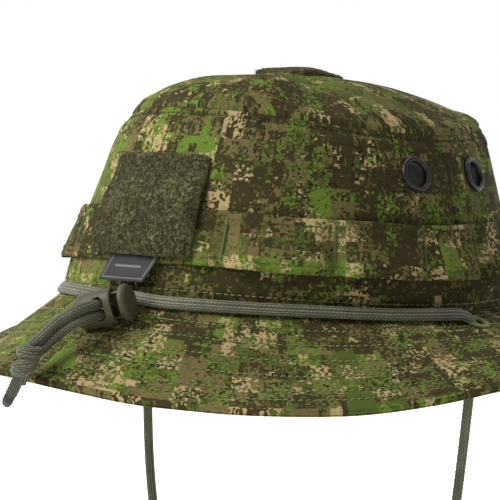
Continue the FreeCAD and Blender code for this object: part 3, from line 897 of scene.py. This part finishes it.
def brim_sheets():
    """Two cloths over a felt, each between a pair of surfaces (side, offset, quilted)."""
    rounding = 56.6
    outs = np.concatenate([np.linspace(-0.9, rounding, 110), [57.1, 57.6, 57.9, 58.05]])
    t, out, tu, ou = ring_grid(outs, 620)
    even = brim_even(t, out)
    quilt = brim_quilt(t, out)
    closing = np.sqrt(np.clip(1 - ((out - rounding).clip(0) / 1.5) ** 2, 0, 1))
    holes = []
    for angle in CORD_HOLE_ANGLES:
        centre, _, _, normal = hole_place(angle)
        holes.append((centre, normal))
    surfaces = (
        (1, BRIM_SURFACE, quilt), (1, BRIM_INSIDE, 0), (-1, BRIM_INSIDE, 0), (-1, BRIM_SURFACE, quilt),
    )
    faces = [brim(t, out, even + side * (thick + added) * closing) for side, thick, added in surfaces]
    u = tu * BRIM_ARC
    upper = cloth("brim_upper_cloth", faces[0], faces[1], u, ou, camo_brim, True)
    lower = cloth("brim_lower_cloth", faces[2], faces[3], u, ou, camo_brim, True)
    t, out, tu, ou = ring_grid(np.linspace(1.5, 53.0, 40), 310)
    even = brim_even(t, out)
    faces = [brim(t, out, even + off) for off in (0.36, -0.36)]
    felt = cloth("brim_felt", faces[0], faces[1], tu * BRIM_ARC, ou, interlining, True)
    cloth_flat = (0.77, 0.058)
    made = ((upper, "brim_upper", cloth_flat), (lower, "brim_lower", cloth_flat),
            (felt, "brim_stiffener", (0.755, 0.0515)))
    for obj, node, flat in made:
        open_round(obj, holes, CORD_HOLE)
        rest_on(obj, node, flat)


brim_sheets()


# Band round the crown

def band_off(t, rise):
    """The band lies on the wall at its bartacks and stands off it between them."""
    gap = np.full(np.shape(t), 99.0)
    for angle in BARTACKS:
        gap = np.minimum(gap, np.abs(wrapped(t - angle)) * WALL_ARC)
    turn = wrapped(t)
    under_patch = smooth(np.abs(turn - 1.0), 16.0, 24.0)
    low_edge = smooth(BAND_TOP - rise, 2.0, 19.0)
    loose = 0.4 + 0.6 * smooth(turn, 16.0, 36.0)
    full = (1.2 + 3.6 * low_edge) * loose
    stand = 0.6 + (0.25 + full * smooth(gap, 0.4, 7.5)) * under_patch
    p = wall(t, rise, 0)
    waves = 0.6 * noise(p, 22.0, 41) + 0.25 * noise(p, 9.0, 43)
    return stand + waves * under_patch - 0.3 * bump(gap, 0, 1.2)


def make_band():
    t, rise, tu, ru = ring_grid(np.linspace(BAND_BOTTOM, BAND_TOP, 34), 620)
    r = rise + 0.35 * noise(vec(t * WALL_ARC, 0, 0), 17.0, 45)
    off = band_off(t, rise).clip(0.5, None)
    edge = np.minimum(rise - BAND_BOTTOM, BAND_TOP - rise)
    hem = 0.5 * (1 - smooth(edge, 4.6, 5.4)) - 0.35 * bump(edge, BAND_ROW, 0.5) - 0.6 * bump(edge, 0.0, 0.9)
    outer = wall(t, r, off + 1.0 + hem)
    inner = wall(t, r, off - 0.2)
    obj = cloth("foliage_band_cloth", outer, inner, tu * BAND_ARC, ru, camo_band, True)
    rest_on(obj, "foliage_band", (0.60, 0.0215))


make_band()


# Cords

def nurbs_line(route):
    """Points of the route's smooth line, read from its NURBS spline, in millimetres."""
    curve = bpy.data.curves.new("route", "CURVE")
    curve.dimensions = "3D"
    curve.resolution_u = 24
    spline = curve.splines.new("NURBS")
    spline.points.add(len(route) - 1)
    for point, place in zip(spline.points, route):
        point.co = (place[0] * MM, place[1] * MM, place[2] * MM, 1)
    spline.order_u = 3
    spline.use_endpoint_u = True
    holder = bpy.data.objects.new("route", curve)
    bpy.context.collection.objects.link(holder)
    mesh = bpy.data.meshes.new_from_object(holder)
    points = np.array([v.co for v in mesh.vertices]) / MM
    bpy.data.objects.remove(holder)
    bpy.data.meshes.remove(mesh)
    keep = np.concatenate([[True], np.linalg.norm(np.diff(points, axis=0), axis=1) > 1e-4])
    return points[keep]


def cord_tube(name, route, width, height, facing, material, step=0.55, around=60):
    """A braided cord along a route: facing(points) gives its flat side's direction."""
    ribs, squareness = 12, 0.8
    line = nurbs_line(route)
    length = arc_length(line)[-1]
    s = np.linspace(0, length, int(length / step) + 1)
    centre = along(line, s)
    tangent = unit(np.gradient(centre, axis=0))
    normal = facing(centre)
    normal = unit(normal - tangent * np.sum(normal * tangent, axis=1, keepdims=True))
    side = np.cross(tangent, normal)
    w = col(width(s, length) if callable(width) else np.full(len(s), width))
    h = col(height(s, length) if callable(height) else np.full(len(s), height))
    a = np.arange(around) * 2 * np.pi / around
    crown = np.abs(np.sin(a * ribs / 2))
    rib = a * ribs / (2 * np.pi)
    lean = np.abs(rib % 1.0 - 0.5) * 2.0
    twill = np.sin(2 * np.pi * (s[:, None] / 1.7 + 0.55 * lean + 0.5 * (np.floor(rib) % 2)))
    relief = 0.34 * (crown - 0.6) + 0.10 * twill * crown
    cx = np.sign(np.cos(a)) * np.abs(np.cos(a)) ** squareness
    cz = np.sign(np.sin(a)) * np.abs(np.sin(a)) ** squareness

    def across(by_side, by_normal):
        return side[:, None] * by_side[..., None] + normal[:, None] * by_normal[..., None]

    ring = centre[:, None] + across(w / 2 * cx, h / 2 * cz) + unit(across(cx / w, cz / h)) * relief[..., None]
    verts = ring.reshape(-1, 3)
    # UV v carries each point's height on its rib; the braid materials paint crests pale and grooves dark from
    # it: painted light and painted shade.
    depth = (0.15 + 0.75 * crown + 0.25 * twill * crown).clip(0, 1)
    depth = np.concatenate([depth, depth[:, :1]], axis=1)
    uvs = grid_uvs(np.broadcast_to(s[:, None], depth.shape), depth).reshape(-1, 2)
    faces = grid_faces(len(s), around, True).tolist()
    faces += [list(range(around))[::-1], list(range(len(verts) - around, len(verts)))]
    cap_uvs = np.tile([0.0, 0.5], (2 * around, 1))
    obj = mesh_object(name, verts, faces, np.concatenate([uvs, cap_uvs]), material)
    return outward_check(obj), line


def face_out(points):
    """Away from the crown and upwards, as a cord lies in the corner over the brim."""
    flat = unit(points * np.array([1, 1, 0]))
    return unit(flat * 0.8 + np.array([0, 0, 0.6]))


def face_rear(points):
    """Backwards and up, for the cord ends that hang behind the hat."""
    return np.broadcast_to(np.array([-0.35, 0.75, 0.55]), points.shape)


def add_cord(name, route, width, height, facing, material=cord_nylon):
    obj, line = cord_tube(name + "_braid", route, width, height, facing, material)
    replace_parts(obj, name)
    arc_length(line)[-1] * MM


add_cord("rear_cord_right", REAR_RIGHT, 5.0, 2.4, face_out)
add_cord("rear_cord_left", REAR_LEFT, 5.0, 2.4, face_out)
add_cord("chin_cord", CHIN_LOOP, 4.2, 3.0, face_out)

# Tails, knot and melted ends

KNOT_CENTRE = np.array([-1.9, 157.2, -19.9])
KNOT_AXIS = unit(np.array([0.28, 0.14, -0.95]))
KNOT_ACROSS = unit(np.cross(KNOT_AXIS, np.array([-0.647, 0.762, 0.037])))
KNOT_OUT = np.cross(KNOT_ACROSS, KNOT_AXIS)
END_DIRECTION = unit(np.array([0.489, 0.053, -0.87]))
END_SPREAD = unit(np.array([-0.52, 0.818, -0.245]))


def short_piece(name, points, width, height, facing, material, node):
    """A short flattened piece of cord through the points."""
    obj, _ = cord_tube(name, points, width, height, facing, material, step=0.35, around=48)
    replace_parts(obj, node)
    return obj


def knot_pieces():
    """An overhand knot: two crossing wraps over a core, drawn tight."""
    def place(along_axis, turn, radius):
        a = math.radians(turn)
        return (KNOT_CENTRE + KNOT_AXIS * along_axis
                + (KNOT_ACROSS * math.sin(a) + KNOT_OUT * math.cos(a)) * radius)

    def outwards(points):
        d = points - KNOT_CENTRE
        return unit(d - (d @ KNOT_AXIS)[:, None] * KNOT_AXIS)

    top_wrap = [place(-4.3 + 0.9 * math.sin(math.radians(t)), t, 3.4) for t in range(-160, 201, 30)]
    low_wrap = [place(1.6 + 2.4 * math.sin(math.radians(t + 40)), t, 3.1) for t in range(-190, 171, 30)]
    cross = [place(-3.6 + k * 0.95, -80 + k * 22, 3.7 - 0.09 * abs(k - 4)) for k in range(9)]
    shares = (-6.4, -3.0, 0.0, 3.0, 6.4)
    core = [KNOT_CENTRE + KNOT_AXIS * k + END_DIRECTION * max(k, 0) * 0.3 for k in shares]
    parts = (
        ("knot_top_wrap", top_wrap, 3.7, 3.1, outwards),
        ("knot_low_wrap", low_wrap, 3.7, 2.9, outwards),
        ("knot_crossing", cross, 3.6, 2.7, outwards),
        ("knot_core", core, 5.4, 4.4, face_rear),
    )
    return [short_piece(*part, painted_shade_nylon, "tail_knot") for part in parts]


def end_pieces():
    def taper(s, length):
        return 3.9 * (1 - 0.28 * smooth(s, length - 2.6, length) ** 2)

    def thin(s, length):
        return 3.3 * (1 - 0.34 * smooth(s, length - 2.4, length) ** 2)

    made = []
    for side, reach, node in ((-1, 16.8, "cord_end_right"), (1, 18.8, "cord_end_left")):
        start = KNOT_CENTRE + END_DIRECTION * 3.6 + END_SPREAD * side * 1.7
        finish = KNOT_CENTRE + END_DIRECTION * reach + END_SPREAD * side * 1.9
        points = [start + (finish - start) * k / 4 + END_SPREAD * side * 0.3 * math.sin(k) for k in range(5)]
        made.append(short_piece("singed_" + node, points, taper, thin, face_rear, singed_cord, node))
    return made


# The knot and the tails wear the darker nylon copy: painted shade.
knot = knot_pieces()
end_right, end_left = end_pieces()
add_cord("cord_tail_upper", TAIL_UPPER, 3.9, 3.4, face_rear, painted_shade_nylon)
add_cord("cord_tail_lower", TAIL_LOWER, 3.9, 3.4, face_rear, painted_shade_nylon)


# Patches of loop pile

PILE_CORNER = 2.6
REAR_PATCH_RISE = 37.0


def rear_patch_place(across, rise, off):
    """The patch lies over the band and eases down to the wall above it."""
    middle = -3.5 + 0.112 * (rise - REAR_PATCH_RISE)
    over_band, on_wall = 3.5, 0.5
    lift = over_band + (on_wall - over_band) * smooth(rise, REAR_PATCH_RISE, REAR_PATCH_RISE + 14.0)
    return wall(wall_angle(middle + across, rise), rise, lift + off)


def top_patch_place(x, y, off):
    """The patch lies on the crown's tip, a little left of its middle."""
    reach_x, reach_y = (x + 3.0) / TOP_HALF_WIDTH, (y + 2.6) / TOP_HALF_LENGTH
    reach = np.hypot(reach_x, reach_y)
    angle = np.degrees(np.arctan2(-reach_x, reach_y))
    relief = tip_relief(tip(angle, reach, 0), reach, angle)
    sunk = 1.3 * smooth(-x * 0.65 - y * 0.75, 2.0, 18.0)
    return tip(angle, reach, 1.45 + relief - sunk + off)


def rounded(u, v, half_u, half_v):
    """Pulls the corners of a grid in to round ones."""
    du, dv = np.abs(u) - (half_u - PILE_CORNER), np.abs(v) - (half_v - PILE_CORNER)
    size = np.hypot(du.clip(0), dv.clip(0))
    limit = np.minimum(1.0, PILE_CORNER / np.maximum(size, 1e-6))
    corner = (du > 0) & (dv > 0)
    ru = np.where(corner, np.sign(u) * (half_u - PILE_CORNER + du.clip(0) * limit), u)
    rv = np.where(corner, np.sign(v) * (half_v - PILE_CORNER + dv.clip(0) * limit), v)
    return ru, rv


def pile_patch(name, place, half, mid_v, seed, loops, rim, tallest, material):
    """Loop pile: a fuzzy pad, and loops that stand on it. rim is its edge's height share and width."""
    step, thick = 0.5, 1.9
    half_u, half_v = half
    rim_height, rim_width = rim
    edges = [np.linspace(-reach, reach, int(2 * reach / step)) for reach in half]
    u, v = rounded(*np.meshgrid(*edges), half_u, half_v)
    edge = np.minimum(half_u - np.abs(u), half_v - np.abs(v))
    flat = vec(u, v, seed)
    fuzz = 0.22 * noise(flat, 0.9, seed) + 0.22 * noise(flat, 2.2, seed + 1)
    fuzz = fuzz + 0.25 * noise(flat, 7.0, seed + 2)

    def height(edge):
        return thick * (rim_height + (1 - rim_height) * np.sqrt(np.clip(edge / rim_width, 0, 1)))

    sunk = 0.28 * bump(edge, 1.9, 0.5)
    wave = 0.45 * noise(flat, 16.0, seed + 3) * smooth(edge, -1, 6)
    outer = place(u, mid_v + v, height(edge) + fuzz * smooth(edge, -0.2, 1.0) + wave - sunk)
    obj = cloth(name, outer, place(u, mid_v + v, 0.05 + wave * 0.8), u, v, material)

    rng = np.random.default_rng(seed)
    lu = rng.uniform(-half_u + 0.2, half_u - 0.2, loops)
    lv = rng.uniform(-half_v + 0.2, half_v - 0.2, loops)
    past_corner = np.hypot(*[(np.abs(at) - reach + PILE_CORNER).clip(0) for at, reach in zip((lu, lv), half)])
    keep = past_corner < PILE_CORNER - 0.2
    lu, lv = lu[keep], lv[keep]
    turn = rng.uniform(0, 2 * np.pi, len(lu))
    tall = rng.uniform(0.45, tallest, len(lu))
    wide = rng.uniform(0.35, 0.75, len(lu))
    local = 0.45 * noise(vec(lu, lv, seed), 16.0, seed + 3) - 0.2 * thick
    local += height(np.minimum(half_u - np.abs(lu), half_v - np.abs(lv)))
    points = []
    for k in range(6):
        a = math.pi * k / 5
        x = -np.cos(a) * wide
        points.append(place(lu + x * np.cos(turn), mid_v + lv + x * np.sin(turn), local + math.sin(a) * tall))
    upwards = unit(place(lu, mid_v + lv, 1.0) - place(lu, mid_v + lv, 0.0))
    centres = np.stack(points, axis=1)
    hair = strands(name + "_loops", centres, upwards[:, None, :] + 1e-6, 0.13, 3, material)
    return obj, [hair]


rear_pile, rear_loops = pile_patch(
    "rear_pile", rear_patch_place, (21.75, 20.0), REAR_PATCH_RISE, 61, 5200, (0.42, 1.8), 0.95, pile)
rest_on(rear_pile, "rear_loop_patch", (0.0435, 0.040), rear_loops)
top_pile, top_loops = pile_patch(
    "top_pile", top_patch_place, (14.0, 14.0), 0.0, 71, 4200, (0.12, 3.0), 1.5, painted_light_top_pile)
rest_on(top_pile, "top_loop_patch", (0.028, 0.028), top_loops)


# Labels, each with a plain woven border and bars

def label_place(across, rise, off):
    middle = -5.0 + 0.4 * (17.0 - rise)
    return wall(wall_angle(middle + across, rise), rise, off)


def size_label_place(across, rise, off):
    return wall(wall_angle(across, rise), rise, off)


def woven_tag(name, place, half_u, bottom, high, low, thick, curl):
    u, v = np.meshgrid(np.linspace(-half_u, half_u, 64), np.linspace(bottom, high, 52))
    lift = curl * (1 - smooth(v, bottom, bottom + 7.0)) + 0.25 * noise(vec(u, v, 0), 9.0, 83)
    lift = lift * smooth(high - v, 0.5, 5.0)
    weave = 0.05 * np.sin(v * 2 * np.pi / 0.7)
    outer = place(u, v, low + thick + lift + weave)
    weave_material = tag_cloth(name, half_u, bottom, high)
    return cloth(name, outer, place(u, v, low + lift), u, v, weave_material)


tag = woven_tag("woven_tag", label_place, 11.0, 6.5, 24.0, 2.4, 0.5, 1.0)
rest_on(tag, "woven_label", (0.022, 0.0175))
tag = woven_tag("size_tag", size_label_place, 15.0, 9.0, 24.0, -3.75, 0.4, 0.0)
rest_on(tag, "size_label", (0.030, 0.015))


# Sweatband and seam tapes inside the crown

def inside_ring(name, bottom, high, low, thick, material, rows):
    t, rise, tu, ru = ring_grid(np.linspace(bottom, high, rows), 360)
    p = wall(t, rise, low)
    gathers = 0.25 * noise(p, 11.0, 91) + 0.3 * noise(p, 30.0, 93)
    edge = np.minimum(rise - bottom, high - rise)
    full = 0.25 * (1 - smooth(edge, 2.0, 2.8)) - 0.2 * bump(edge, 1.6, 0.4)
    outer = wall(t, rise, low + thick)
    inner = wall(t, rise, low - (gathers + full).clip(-0.2, 0.8))
    return cloth(name, outer, inner, tu * WALL_ARC, ru, material, True)


sweatband = inside_ring("sweatband_cloth", 1.0, 30.0, -3.1, 1.5, sweat_cloth, 24)
rest_on(sweatband, "sweatband", (0.578, 0.029))
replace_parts(inside_ring("seam_tape_cloth", 63.2, 68.7, -2.3, 0.8, lining, 10), "top_seam_tape")

for side, label in zip(SIDE_SEAMS, ("right", "left")):
    t, rise = np.meshgrid(np.linspace(side - 4, side + 4, 20), np.linspace(32.0, 61.2, 40))
    edge = (4 - np.abs(t - side)) * 1.5
    swell = 0.2 * noise(wall(t, rise, 0), 8.0, 95) + 0.2 * bump(edge, 0.0, 1.5)
    inner = wall(t, rise, -2.2 - swell.clip(-0.1, 0.4))
    tape = cloth("side_tape_" + label, wall(t, rise, -1.5), inner, t * 1.6, rise, lining)
    rest_on(tape, "side_seam_tapes", (0.0117, 0.0292))


# Eyelets: rolled metal rims with woven yarn behind them

def lathe(name, centre, x, y, normal, profile, material):
    """Turns a closed profile of (radius, height) about the normal."""
    around = 64
    a = np.arange(around) * 2 * np.pi / around
    radial = x * np.cos(a)[:, None] + y * np.sin(a)[:, None]
    verts = np.concatenate([centre + radial * r + normal * h for r, h in profile])
    faces = grid_faces(len(profile) + 1, around, True) % len(verts)
    return outward_check(mesh_object(name, verts, faces, None, material))


RIM = [(5.3, -2.4), (5.3, -0.4), (5.33, 0.6)]
for a in np.radians(range(165, -1, -15)):
    RIM.append((6.3 + 0.98 * math.cos(a), 0.75 + 1.1 * math.sin(a)))
RIM += [(7.22, 0.35), (6.6, 0.25), (5.9, 0.1), (5.85, -2.4)]


def yarn_mesh(name, centre, x, y, normal):
    """Crossing yarns that close an eyelet's hole."""
    lines = []
    pitch, radius = 0.62, 5.35
    for direction, other, way in ((x, y, 0.1), (y, x, -0.1)):
        for k in range(-9, 10):
            reach = math.sqrt(max(radius * radius - (k * pitch) ** 2, 0))
            if reach < 0.4:
                continue
            s = np.linspace(-reach, reach, 24)
            wave = way * np.cos(np.pi * (s / pitch + k))
            lines.append(centre + other * (k * pitch) + direction * s[:, None] + normal * wave[:, None])
    return strands(name, np.stack(lines), normal, 0.16, 5, mesh_wire)


for angle, label in zip(EYELET_ANGLES, ("right_rear", "right_front", "left_front", "left_rear")):
    centre, x, y, normal = eyelet_frame(angle)
    ring = lathe("rim_" + label, centre, x, y, normal, RIM, gunmetal)
    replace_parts(ring, "eyelet_" + label)
    yarns = yarn_mesh("yarn_" + label, centre - normal * 0.3, x, y, normal)
    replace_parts(yarns, "eyelet_meshes")


# Cord lock, with its edges softened

def softened(node, name, body, size):
    source = nodes[node]
    copy = bpy.data.objects.new(name, source.data.copy())
    bpy.context.collection.objects.link(copy)
    remesh = copy.modifiers.new("skin", "REMESH")
    remesh.mode = "VOXEL"
    remesh.voxel_size = size * MM
    calm = copy.modifiers.new("calm", "SMOOTH")
    calm.factor = 0.6
    calm.iterations = 4
    graph = bpy.context.evaluated_depsgraph_get()
    mesh = bpy.data.meshes.new_from_object(copy.evaluated_get(graph))
    copy.modifiers.clear()
    copy.data = mesh
    dress(copy, plastic)
    mesh.shade_smooth()
    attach(copy, body)
    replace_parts(copy, node)


softened("cord_lock_body", "lock_shell", "hat", 0.32)
softened("cord_lock_button", "lock_push", "lock_button", 0.3)
dress(nodes["cord_lock_spring"], steel)
dress(nodes["eyelet_washers"], gunmetal)


# Embroidery and rows of stitches

def satin_ring(name, angle, node):
    """Threads laid outwards round a cord hole."""
    centre, outward, across, normal = hole_place(angle)
    inner, outer, count = 3.7, 6.0, 84
    rows = []
    rng = np.random.default_rng(int(abs(angle)))
    for k in range(count):
        a = 2 * math.pi * (k + 0.3 * rng.uniform(-1, 1)) / count
        way = outward * math.cos(a) + across * math.sin(a)
        low, high = inner + rng.uniform(-0.15, 0.15), outer + rng.uniform(-0.25, 0.35)
        points = []
        for share in np.arange(7) / 6:
            lift = 1.55 + 0.75 * math.sin(math.pi * share) ** 0.6
            points.append(centre + way * (low + (high - low) * share) + normal * lift)
        rows.append(points)
    obj = strands(name, np.array(rows), normal, 0.24, 6, stitch_thread)
    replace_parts(obj, node)


for angle, label in zip(CORD_HOLE_ANGLES, ("right", "left")):
    satin_ring("stitched_hole_" + label, angle, "cord_hole_stitching_" + label)


# Surfaces that the stitches lie on: place, then how far above the cloth

ROUND = np.linspace(0, 360, 1400)


def wall_skin(t, rise, lift):
    return wall(t, rise, wall_relief(t, rise) + lift)


def tip_skin(t, reach, lift):
    return tip(t, reach, TIP_SURFACE + tip_relief(tip(t, reach, 0), reach, t) + lift)


def band_skin(t, rise, lift):
    return wall(t, rise, band_off(t, rise).clip(0.5, None) + 1.0 + lift)


def brim_skin(t, out, lift):
    return brim(t, out, brim_even(t, out) + BRIM_SURFACE + brim_quilt(t, out) + lift)


def under_skin(t, out, lift):
    return brim(t, out, brim_even(t, out) - BRIM_SURFACE - brim_quilt(t, out) - lift)


def sweat_skin(t, rise, lift):
    return wall(t, rise, -3.2 - lift)


def row(skin, t, level, lift):
    """Points and outward normals of a stitch row over a surface skin(t, level, lift)."""
    points = skin(t, level, lift)
    return points, unit(skin(t, level, lift + 1.0) - points)


def ring_rows(skin, levels, lift):
    """Rows right round the hat."""
    return [row(skin, ROUND, np.full_like(ROUND, level), lift) for level in levels]


stitches("crown_bottom_stitches", ring_rows(wall_skin, [BOTTOM_ROW], 0.12), stitch_thread)
dark_rows = [row(wall_skin, ROUND, wall_height(ROUND) - TOP_ROW, 0.15)]
for side in SIDE_SEAMS:
    for step in (-2.0, 2.0):
        rise = np.linspace(6.0, wall_height(side) - 2.0, 200)
        dark_rows.append(row(wall_skin, np.full_like(rise, side + step / SIDE_SEAM_ARC), rise, 0.12))
stitches("crown_stitches", dark_rows, dark_thread)
stitches("tip_stitches", ring_rows(tip_skin, [1 - TIP_ROW / TIP_MEAN_RADIUS], 0.15), dark_thread)
band_rows = ring_rows(band_skin, (BAND_BOTTOM + BAND_ROW, BAND_TOP - BAND_ROW), 0.05)
stitches("band_stitches", band_rows, dark_thread, 2.6, 1.9, 0.4)
stitches("brim_stitches", ring_rows(brim_skin, BRIM_ROWS, 0.12), stitch_thread)
stitches("brim_under_stitches", ring_rows(under_skin, BRIM_ROWS, 0.12), stitch_thread)
stitches("sweatband_stitches", ring_rows(sweat_skin, [28.4], 0.0), stitch_thread)

# Zigzag stitches that hold the band to the wall

tack_lines = []
flat = np.array([1, 1, 0])
for angle in BARTACKS:
    rise = np.linspace(BAND_BOTTOM + 0.6, BAND_TOP - 0.6, 61)
    zig = np.where(np.arange(61) % 2 == 0, -0.62, 0.62)
    t = np.full_like(rise, angle) + zig / WALL_ARC
    for k in range(60):
        pair = band_skin(t[k:k + 2], rise[k:k + 2], np.array([0.25, 0.25]))
        middle = pair.mean(axis=0) + unit(pair.mean(axis=0) * flat) * 0.12
        tack_lines.append([pair[0], middle, pair[1]])
centres = np.array(tack_lines)
tacks = strands("bartack_threads", centres, unit(centres * flat), 0.22, 5, tack_thread)
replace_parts(tacks, "band_bartacks")


# Floor, light and camera

def studio_floor():
    """A pale round floor that fades into the white background away from the hat."""
    floor = cad_box[0][2] - 0.0005
    bpy.ops.mesh.primitive_circle_add(vertices=96, radius=1.6, fill_type="NGON", location=(0, 0, floor))
    obj = bpy.context.object
    obj.name = "studio_floor"
    n = Nodes("studio_paper", 0.9, 0.1)
    p = n.position()
    n.colour(n.two_tone(n.noise(p, 0.01, 2.0), linear(244, 244, 243), linear(248, 248, 247)))
    distance = n.add("VectorMath", {0: p}, operation="LENGTH").outputs["Value"]
    n.set("Emission Color", (1, 1, 1, 1))
    n.set("Emission Strength", n.remap(distance, 350.0, 1100.0, 0.5, 1.0))
    obj.data.materials.append(n.material)


studio_floor()

# The world is white to the camera and lights the hat only faintly
AMBIENT = 0.13
world = bpy.data.worlds.new("studio")
world.use_nodes = True
backdrop = world.node_tree.nodes["Background"]
backdrop.inputs[0].default_value = (1, 1, 1, 1)
rays = world.node_tree.nodes.new("ShaderNodeLightPath")
ambient = world.node_tree.nodes.new("ShaderNodeMath")
ambient.operation = "MULTIPLY_ADD"
ambient.inputs[1].default_value = 1 - AMBIENT
ambient.inputs[2].default_value = AMBIENT
world.node_tree.links.new(rays.outputs["Is Camera Ray"], ambient.inputs[0])
world.node_tree.links.new(ambient.outputs[0], backdrop.inputs[1])
bpy.context.scene.world = world
bpy.context.scene.view_settings.view_transform = "Standard"

TURN = math.radians(40.3)
LIFT = math.radians(2.1)
ROLL = math.radians(1.3)
to_camera = np.array([-math.sin(TURN) * math.cos(LIFT), math.cos(TURN) * math.cos(LIFT), math.sin(LIFT)])
right = np.array([-math.cos(TURN), -math.sin(TURN), 0])
up = np.cross(to_camera, right)
right, up = right * math.cos(ROLL) + up * math.sin(ROLL), up * math.cos(ROLL) - right * math.sin(ROLL)

MIDDLE = np.array([0, 0, 30])


def area_light(name, place, size, power):
    """A square lamp at place, in millimetres, that looks at the hat's middle."""
    lamp = bpy.data.lights.new(name, "AREA")
    lamp.shape = "RECTANGLE"
    lamp.size, lamp.size_y = size, size
    lamp.energy = power
    obj = bpy.data.objects.new(name, lamp)
    bpy.context.collection.objects.link(obj)
    obj.location = Vector(place * MM)
    obj.rotation_euler = Vector((MIDDLE - place) * MM).to_track_quat("-Z", "Y").to_euler()


area_light("key", to_camera * 500 - right * 1000 + up * 900, 0.7, 22)
area_light("fill", to_camera * 1100 + right * 500 + up * 200, 1.2, 1.5)
area_light("top", up * 1300 - to_camera * 200, 1.0, 8)
area_light("far_left", right * -900 - to_camera * 900 + up * 450, 1.3, 6)
area_light("far_right", right * 900 - to_camera * 900 + up * 450, 1.3, 6)

camera_data = bpy.data.cameras.new("camera")
camera_data.lens = 169.2
camera_data.sensor_width = 36.0
camera_data.clip_end = 20
camera = bpy.data.objects.new("camera", camera_data)
bpy.context.collection.objects.link(camera)
eye = MIDDLE + to_camera * 1000
target = MIDDLE - right * 19.6 - up * 11.0
back = unit(eye - target)
side = unit(np.cross(up, back))
true_up = np.cross(back, side)
matrix = Matrix([[*side, 0], [*true_up, 0], [*back, 0], [0, 0, 0, 1]]).transposed()
matrix.translation = Vector(eye * MM)
camera.matrix_world = matrix
bpy.context.scene.camera = camera
